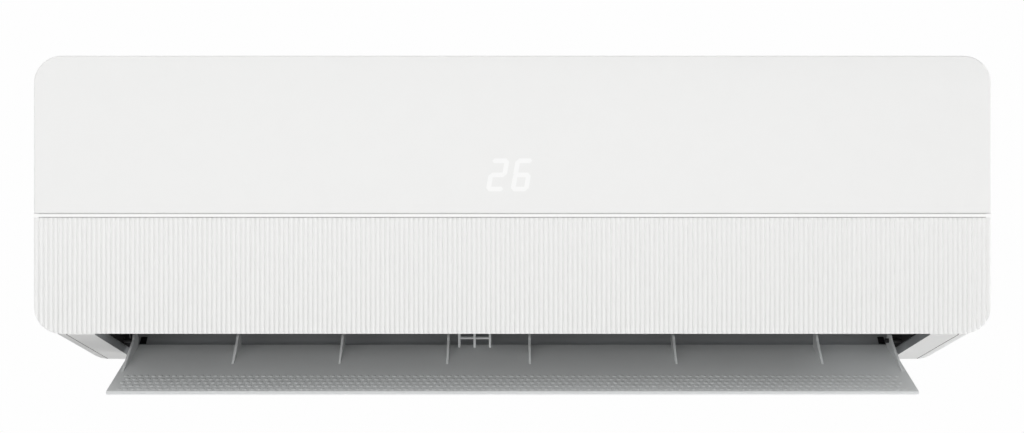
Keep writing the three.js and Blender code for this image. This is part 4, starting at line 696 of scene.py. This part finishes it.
BOARD_FACE_Y = 53.2
SLEEVES = ((301, 190, 9.4), (321, 206, 6.4))
RELAY_Z = 167
TERMINAL_FLOOR_Y = (44, 50)
FORWARDS = 0.9  # least share of a normal from front to back, on a face that looks forwards
LID_FACE_Y = 22
LID_SCREWS = ((332, 104), (332, 240))
SCREW_RADIUS = 3.4
SCREW_SLOT = 0.9
SCREW_FLANGE = (0.0, 0.8)
SCREW_HEAD = (0.7, 1.8)
HEAD_TAPER = 0.93
HALF_TURN_STEPS = 10


def green_solder_mask(tree, place):
    """Green lacquer over copper tracks: glossy, with tracks 1 mm wide showing lighter."""
    turned = add(tree, "ShaderNodeMapping", {"Rotation": (math.pi / 2, 0, 0)}, {"Vector": place})
    tracks = add(tree, "ShaderNodeTexBrick",
                 {"Scale": 1.0, "Color1": linear("#1d5a2d"), "Color2": linear("#256638"),
                  "Mortar": linear("#3f8a52"), "Mortar Size": 0.5 * MM, "Brick Width": 9 * MM,
                  "Row Height": 4 * MM}, {"Vector": turned.outputs[0]})
    return add(tree, "ShaderNodeBsdfPrincipled", {"Roughness": 0.3, "Coat Weight": 0.4},
               {"Base Color": tracks.outputs[0]})


def shrunk_vinyl_sleeve(tree, place):
    """Shrunk vinyl sleeve of a capacitor: blue black and glossy, with slight shrink ripples."""
    ripple = add(tree, "ShaderNodeTexNoise", {"Scale": 1 / (3 * MM), "Detail": 2.0}, {"Vector": place})
    colour = add(tree, "ShaderNodeMix", {"data_type": "RGBA", 6: linear("#161c2b"), 7: linear("#212a40")},
                 {0: ripple.outputs[0]})
    bump = add(tree, "ShaderNodeBump", {"Strength": 0.2, "Distance": 0.1 * MM}, {"Height": ripple.outputs[0]})
    return add(tree, "ShaderNodeBsdfPrincipled", {"IOR": 1.54, "Roughness": 0.25},
               {"Base Color": colour.outputs[2], "Normal": bump.outputs[0]})


def flame_retardant_abs(tree, place):
    """Flame-retardant ABS: off-white and slightly yellowed, dull."""
    flow = add(tree, "ShaderNodeTexNoise", {"Scale": 1 / (40 * MM), "Detail": 2.0}, {"Vector": place})
    colour = add(tree, "ShaderNodeMix", {"data_type": "RGBA", 6: linear("#d6d5cc"), 7: linear("#cbcabf")},
                 {0: flow.outputs[0]})
    return add(tree, "ShaderNodeBsdfPrincipled", {"IOR": 1.55, "Roughness": 0.55},
               {"Base Color": colour.outputs[2]})


def black_phenolic(tree, place):
    """Pressed phenolic resin: black, hard, with pale specks of filler 0.6 mm across."""
    specks = add(tree, "ShaderNodeTexNoise", {"Scale": 1 / (0.6 * MM), "Detail": 1.0}, {"Vector": place})
    colour = add(tree, "ShaderNodeMix", {"data_type": "RGBA", 6: linear("#19191a"), 7: linear("#2e2f31")},
                 {0: specks.outputs[0]})
    return add(tree, "ShaderNodeBsdfPrincipled", {"IOR": 1.6, "Roughness": 0.36},
               {"Base Color": colour.outputs[2]})


def half_head(side):
    """Outline in (x, z) of the half of a slotted screw head at one side of its slot."""
    start = math.asin(SCREW_SLOT / 2 / SCREW_RADIUS)
    turns = [start + (math.pi - 2 * start) * i / HALF_TURN_STEPS for i in range(HALF_TURN_STEPS + 1)]
    return [(SCREW_RADIUS * math.cos(t) * side, SCREW_RADIUS * math.sin(t) * side) for t in turns]


def lid_screw_mesh():
    """Slotted pan heads: a full disc under two half discs, with the slot between them."""
    turns = [math.pi * i / HALF_TURN_STEPS for i in range(2 * HALF_TURN_STEPS)]
    full = [(SCREW_RADIUS * math.cos(t), SCREW_RADIUS * math.sin(t)) for t in turns]
    layers = [(full, SCREW_FLANGE), (half_head(1), SCREW_HEAD), (half_head(-1), SCREW_HEAD)]
    points, faces = [], []
    for x, z in LID_SCREWS:
        for outline, (low, high) in layers:
            first = len(points)
            points += [spot(x + u, LID_FACE_Y - low, z + v) for u, v in outline]
            points += [spot(x + u * HEAD_TAPER, LID_FACE_Y - high, z + v * HEAD_TAPER) for u, v in outline]
            faces += prism_faces(first, len(outline))
    return points, faces


def on_sleeve(x, y, z, normal):
    return y < BOARD_FACE_Y and any(math.dist((x, z), (u, v)) < radius for u, v, radius in SLEEVES)


coat(material_of(green_solder_mask), SHEARED_EDGE, "control_board", "display_board")
phenolic = material_of(black_phenolic)
recoat("control_board", nylon, lambda x, y, z, normal: y < BOARD_FACE_Y and z > RELAY_Z)
recoat("control_board", phenolic, lambda x, y, z, normal: y < BOARD_FACE_Y and z <= RELAY_Z)
recoat("control_board", material_of(shrunk_vinyl_sleeve), on_sleeve)
coat(material_of(flame_retardant_abs), MOULDED_EDGE, "control_box")
coat(phenolic, MOULDED_EDGE, "terminal_block", "switch_block")
recoat("terminal_block", brass, lambda x, y, z, normal: (
    TERMINAL_FLOOR_Y[0] < y < TERMINAL_FLOOR_Y[1] and abs(normal.y) > FORWARDS))
coat(zinc, SHEARED_EDGE, "control_lid")
new_piece("lid_screws", *lid_screw_mesh(), can_steel, "unit", "galvanised_steel")

# ---- Front panel: smooth skin ----------------------------------------------------------------------
# Injection-moulded ABS tray, 2.6 mm thick, with rounded corners and a fuller roll along its lower
# edge. Its mould is polished and then lightly blasted, which gives a satin face without grain.

HALF_WIDTH = 400
PANEL_CORNER = 23
PANEL_BACK = 12
PANEL_SKIN = 2.6
EDGE_ROUND = 1.6
LOWER_ROLL = 1.4
SMOOTH_BOTTOM = 134.9
ROLL_STEPS = 8


def satin_white_abs(tree, place):
    """Moulded satin ABS: warm white, smooth, with a soft broad gloss and barely any waviness."""
    wave = add(tree, "ShaderNodeTexNoise", {"Scale": 1 / (25 * MM), "Detail": 2.0}, {"Vector": place})
    colour = add(tree, "ShaderNodeMix", {"data_type": "RGBA", 6: linear("#efefee"), 7: linear("#f1f1f0")},
                 {0: wave.outputs[0]})
    satin = add(tree, "ShaderNodeMapRange", {"To Min": 0.3, "To Max": 0.38}, {"Value": wave.outputs[0]})
    bump = add(tree, "ShaderNodeBump", {"Strength": 0.05, "Distance": 0.05 * MM}, {"Height": wave.outputs[0]})
    return add(tree, "ShaderNodeBsdfPrincipled", {"IOR": 1.53},
               {"Base Color": colour.outputs[2], "Roughness": satin.outputs[0], "Normal": bump.outputs[0]})


def tray_outline():
    """Places in (x, z) round the smooth skin, each with the directions in which its edge goes inwards."""
    corner_steps = 20
    outline = [(-HALF_WIDTH, SMOOTH_BOTTOM, 1, 1), (HALF_WIDTH, SMOOTH_BOTTOM, -1, 1)]
    for side, start in ((1, 0), (-1, math.pi / 2)):
        for i in range(corner_steps + 1):
            turn = start + i / corner_steps * math.pi / 2
            outline.append((side * (HALF_WIDTH - PANEL_CORNER) + PANEL_CORNER * math.cos(turn),
                            UNIT_HEIGHT - PANEL_CORNER + PANEL_CORNER * math.sin(turn),
                            -math.cos(turn), -math.sin(turn)))
    return outline


def smooth_skin():
    """Tray in rings: from its inner face round the back edge to the rolled outer edge and the face."""
    outline = tray_outline()

    def ring(inset, low_inset, y):
        return [spot(x + inset * dx, y, z + (low_inset if z == SMOOTH_BOTTOM else inset) * dz)
                for x, z, dx, dz in outline]

    rings = [ring(PANEL_SKIN, 0, PANEL_SKIN), ring(PANEL_SKIN, 0, PANEL_BACK), ring(0, 0, PANEL_BACK)]
    for i in range(ROLL_STEPS + 1):
        turn = i / ROLL_STEPS * math.pi / 2
        inset = 1 - math.cos(turn)
        rings.append(ring(EDGE_ROUND * inset, LOWER_ROLL * inset, LOWER_ROLL * (1 - math.sin(turn))))
    points = [point for one in rings for point in one]
    count = len(outline)
    faces = [tuple(range(count)), tuple(reversed(range(len(points) - count, len(points))))]
    for r in range(len(rings) - 1):
        for i in range(count):
            a, b = r * count + i, r * count + (i + 1) % count
            faces.append((a, a + count, b + count, b))
    return points, faces


panel_abs = material_of(satin_white_abs)
smooth = new_piece("smooth_skin", *smooth_skin(), panel_abs, "front_panel", "panel_white", sharp=50)
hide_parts("smooth_panel")

# ---- Front panel: fluted skin ----------------------------------------------------------------------
# Second moulding of the same ABS: 199 upright flutes, each a shallow round, cut off along the rounded
# lower corners of the panel, where a narrow bevel catches the light.

FLUTE_COUNT = 199
FLUTE_DEPTH = 0.9
FLUTE_STEPS = 8
FLUTED_BOTTOM = 34.6
FLUTED_TOP = 131.75
LOWER_BEVEL = 0.4
TOP_STEP = 0.1


def flute_columns():
    """Places across the panel with the depth of the fluted face there."""
    pitch = 2 * HALF_WIDTH / FLUTE_COUNT
    radius = (pitch ** 2 / 4 + FLUTE_DEPTH ** 2) / (2 * FLUTE_DEPTH)
    half = math.asin(pitch / 2 / radius)
    columns = []
    for flute in range(FLUTE_COUNT):
        middle = -HALF_WIDTH + (flute + 0.5) * pitch
        for step in range(FLUTE_STEPS):
            turn = -half + 2 * half * step / FLUTE_STEPS
            columns.append((middle + radius * math.sin(turn), radius * (1 - math.cos(turn))))
    columns.append((HALF_WIDTH, FLUTE_DEPTH))
    return columns


def lower_edge(x):
    """Lower edge of the panel at a place across it, rounded near the sides."""
    past = max(0.0, abs(x) - (HALF_WIDTH - PANEL_CORNER))
    return FLUTED_BOTTOM + PANEL_CORNER - math.sqrt(max(0.0, PANEL_CORNER ** 2 - past ** 2))


def fluted_skin():
    """Cross-sections from side to side, each a closed line round the thickness of the skin."""
    points, faces = [], []
    columns = flute_columns()
    for x, front in columns:
        low = lower_edge(x)
        solid = abs(x) > HALF_WIDTH - PANEL_SKIN
        inner = PANEL_BACK if solid else PANEL_SKIN + FLUTE_DEPTH
        inner_low = FLUTED_TOP - TOP_STEP if solid else min(low + PANEL_SKIN, FLUTED_TOP - TOP_STEP)
        section = [(PANEL_BACK, inner_low), (PANEL_BACK, low), (front + LOWER_BEVEL, low),
                   (front, low + LOWER_BEVEL), (front, FLUTED_TOP), (inner, FLUTED_TOP), (inner, inner_low)]
        points += [spot(x, y, z) for y, z in section]
    count = len(section)
    for c in range(len(columns) - 1):
        for i in range(count):
            a, b = c * count + i, c * count + (i + 1) % count
            faces.append((a, b, b + count, a + count))
    faces += [tuple(reversed(range(count))), tuple(range(len(points) - count, len(points)))]
    return points, faces


fluted = new_piece("fluted_skin", *fluted_skin(), panel_abs, "front_panel", "panel_white", sharp=40)
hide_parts("fluted_panel")

# ---- Trim strip ------------------------------------------------------------------------------------
# Thin ABS strip in the joint between the two skins, hot-stamped with aluminium foil and lacquered, so
# that it shows as one bright line.


def hot_stamped_foil(tree, place):
    """Aluminium foil under clear lacquer: a mirror, just softened by the press of the stamping roll."""
    drawn_out = add(tree, "ShaderNodeMapping", {"Scale": (0.1, 1, 1)}, {"Vector": place})
    press = add(tree, "ShaderNodeTexNoise", {"Scale": 1 / (4 * MM), "Detail": 2.0},
                {"Vector": drawn_out.outputs[0]})
    soft = add(tree, "ShaderNodeMapRange", {"To Min": 0.08, "To Max": 0.16}, {"Value": press.outputs[0]})
    return add(tree, "ShaderNodeBsdfPrincipled", {"Base Color": linear("#fcfcfb"), "Metallic": 1.0},
               {"Roughness": soft.outputs[0]})


coat(material_of(hot_stamped_foil), SHEARED_EDGE, "trim_strip")

# ---- Readout ---------------------------------------------------------------------------------------
# Two seven-segment figures of white light that shine through the skin. They set temperature, so they
# show a plain number. The lit places lie in the face itself, a film thick.

DIGIT_HEIGHT = 27.5
DIGIT_STROKE = 3.9
DIGIT_LEAN = math.tan(math.radians(10))
DIGIT_BOTTOM = 153.6
DIGITS = ((-22.4, 15.3, "abged"), (-1.9, 14.9, "afgedc"))
FILM = 0.06
SEGMENT_POINT = 0.9
SEGMENT_GAP = 0.35


def light_through_abs(tree, place):
    """White light through satin ABS: an even, slightly cool white, a touch weaker at random."""
    cloud = add(tree, "ShaderNodeTexNoise", {"Scale": 1 / (9 * MM)}, {"Vector": place})
    colour = add(tree, "ShaderNodeMix", {"data_type": "RGBA", 6: linear("#f2f2f2"), 7: linear("#f6f6f5")},
                 {0: cloud.outputs[0]})
    return add(tree, "ShaderNodeBsdfPrincipled",
               {"Base Color": linear("#101010"), "Roughness": 0.5, "Emission Strength": 1.0},
               {"Emission Color": colour.outputs[2]})


def segment_bar(letter, width):
    """Outline of one segment of a figure: a bar whose ends come to a blunt point."""
    half = DIGIT_STROKE / 2
    cut = half - SEGMENT_GAP - SEGMENT_POINT
    wide, tall = width - DIGIT_STROKE, (DIGIT_HEIGHT - DIGIT_STROKE) / 2
    starts = {"a": (0, 2 * tall), "g": (0, tall), "d": (0, 0), "f": (0, tall), "e": (0, 0),
              "b": (wide, tall), "c": (wide, 0)}
    u0, v0 = starts[letter][0] + half, starts[letter][1] + half
    if letter in "agd":
        u1 = u0 + wide
        return [(u0 - SEGMENT_POINT, v0), (u0 + cut, v0 - half), (u1 - cut, v0 - half),
                (u1 + SEGMENT_POINT, v0), (u1 - cut, v0 + half), (u0 + cut, v0 + half)]
    v1 = v0 + tall
    return [(u0, v0 - SEGMENT_POINT), (u0 + half, v0 + cut), (u0 + half, v1 - cut),
            (u0, v1 + SEGMENT_POINT), (u0 - half, v1 - cut), (u0 - half, v0 + cut)]


def readout_mesh():
    points, faces = [], []
    for left, width, letters in DIGITS:
        for letter in letters:
            outline = segment_bar(letter, width)
            first = len(points)
            for y in (-FILM, 0.0):
                points += [spot(left + u + v * DIGIT_LEAN, y, DIGIT_BOTTOM + v) for u, v in outline]
            faces += [face[::-1] for face in prism_faces(first, len(outline))]
    return points, faces


new_piece("readout", *readout_mesh(), material_of(light_through_abs), "front_panel", "panel_white")

# ---- Studio ----------------------------------------------------------------------------------------
# Plain white surroundings and soft light: a wide box in front, a little to the left, a weak one above,
# and one low at the right that rakes the flutes. The camera is straight in front of the unit's middle.

CAMERA_PLACE = (-0.0004, -1.275, -0.0009)
CAMERA_LENS = 45.25
FLOOR_DROP = 1.4
FLOOR_HALF = 6.0
BACKGROUND = "#fefefe"
AMBIENT = 0.4
FLOOR_GLOW = 0.85
LAMP_AIM = Vector((0, -0.1, 0))
LAMPS = {  # place, width and height in metres, and power in watts
    "front_box": ((-0.5, -2.4, 0.05), 4.4, 1.1, 33),
    "top_box": ((-0.3, -1.2, 2.2), 2.0, 1.0, 10),
    "raking_box": ((2.4, -0.4, -1.0), 0.9, 0.9, 32),
}


def paper_floor(tree, place):
    """Matt white paper, which the camera sees nearly as white as the surroundings, shadow and all."""
    path = add(tree, "ShaderNodeLightPath")
    paper = add(tree, "ShaderNodeBsdfDiffuse", {"Color": linear("#f2f2f2")})
    white = add(tree, "ShaderNodeEmission", {"Color": linear(BACKGROUND)})
    shade = add(tree, "ShaderNodeMixShader", {0: FLOOR_GLOW}, {1: paper.outputs[0], 2: white.outputs[0]})
    return add(tree, "ShaderNodeMixShader", {},
               {0: path.outputs["Is Camera Ray"], 1: paper.outputs[0], 2: shade.outputs[0]})


def studio_floor():
    mesh = bpy.data.meshes.new("studio_floor")
    corners = [(-FLOOR_HALF, -FLOOR_HALF, 0), (FLOOR_HALF, -FLOOR_HALF, 0), (FLOOR_HALF, FLOOR_HALF, 0),
               (-FLOOR_HALF, FLOOR_HALF, 0)]
    mesh.from_pydata(corners, [], [(0, 1, 2, 3)])
    mesh.materials.append(material_of(paper_floor))
    floor = bpy.data.objects.new("studio_floor", mesh)
    floor.location.z = -FLOOR_DROP
    bpy.context.scene.collection.objects.link(floor)


def studio_world():
    """Even light on the object; plain white for what the camera, gloss and clear things see."""
    world = bpy.data.worlds.new("studio")
    bpy.context.scene.world = world
    world.use_nodes = True
    tree = world.node_tree
    tree.nodes.clear()
    path = add(tree, "ShaderNodeLightPath")
    seen = add(tree, "ShaderNodeMath", {"operation": "MAXIMUM"},
               {0: path.outputs["Is Camera Ray"], 1: path.outputs["Is Glossy Ray"]})
    seen = add(tree, "ShaderNodeMath", {"operation": "MAXIMUM"},
               {0: seen.outputs[0], 1: path.outputs["Is Transmission Ray"]})
    light = add(tree, "ShaderNodeBackground", {"Color": linear("#ffffff"), "Strength": AMBIENT})
    white = add(tree, "ShaderNodeBackground", {"Color": linear(BACKGROUND)})
    mixed = add(tree, "ShaderNodeMixShader", {},
                {0: seen.outputs[0], 1: light.outputs[0], 2: white.outputs[0]})
    add(tree, "ShaderNodeOutputWorld", {}, {"Surface": mixed.outputs[0]})


def softbox(name, place, width, height, power):
    """Rectangular lamp turned to the unit; gloss shows the white surroundings in its place."""
    light = bpy.data.lights.new(name, "AREA")
    light.shape = "RECTANGLE"
    light.size = width
    light.size_y = height
    light.energy = power
    lamp = bpy.data.objects.new(name, light)
    lamp.location = place
    lamp.visible_glossy = False
    lamp.rotation_euler = (LAMP_AIM - Vector(place)).to_track_quat("-Z", "Y").to_euler()
    bpy.context.scene.collection.objects.link(lamp)


studio_floor()
studio_world()
for lamp_name, settings in LAMPS.items():
    softbox(lamp_name, *settings)

camera_data = bpy.data.cameras.new("camera")
camera_data.lens = CAMERA_LENS
camera_data.sensor_width = 36.0
camera = bpy.data.objects.new("camera", camera_data)
camera.location = CAMERA_PLACE
camera.rotation_euler = (math.pi / 2, 0, 0)
bpy.context.scene.collection.objects.link(camera)
bpy.context.scene.camera = camera
bpy.context.scene.view_settings.view_transform = "Standard"
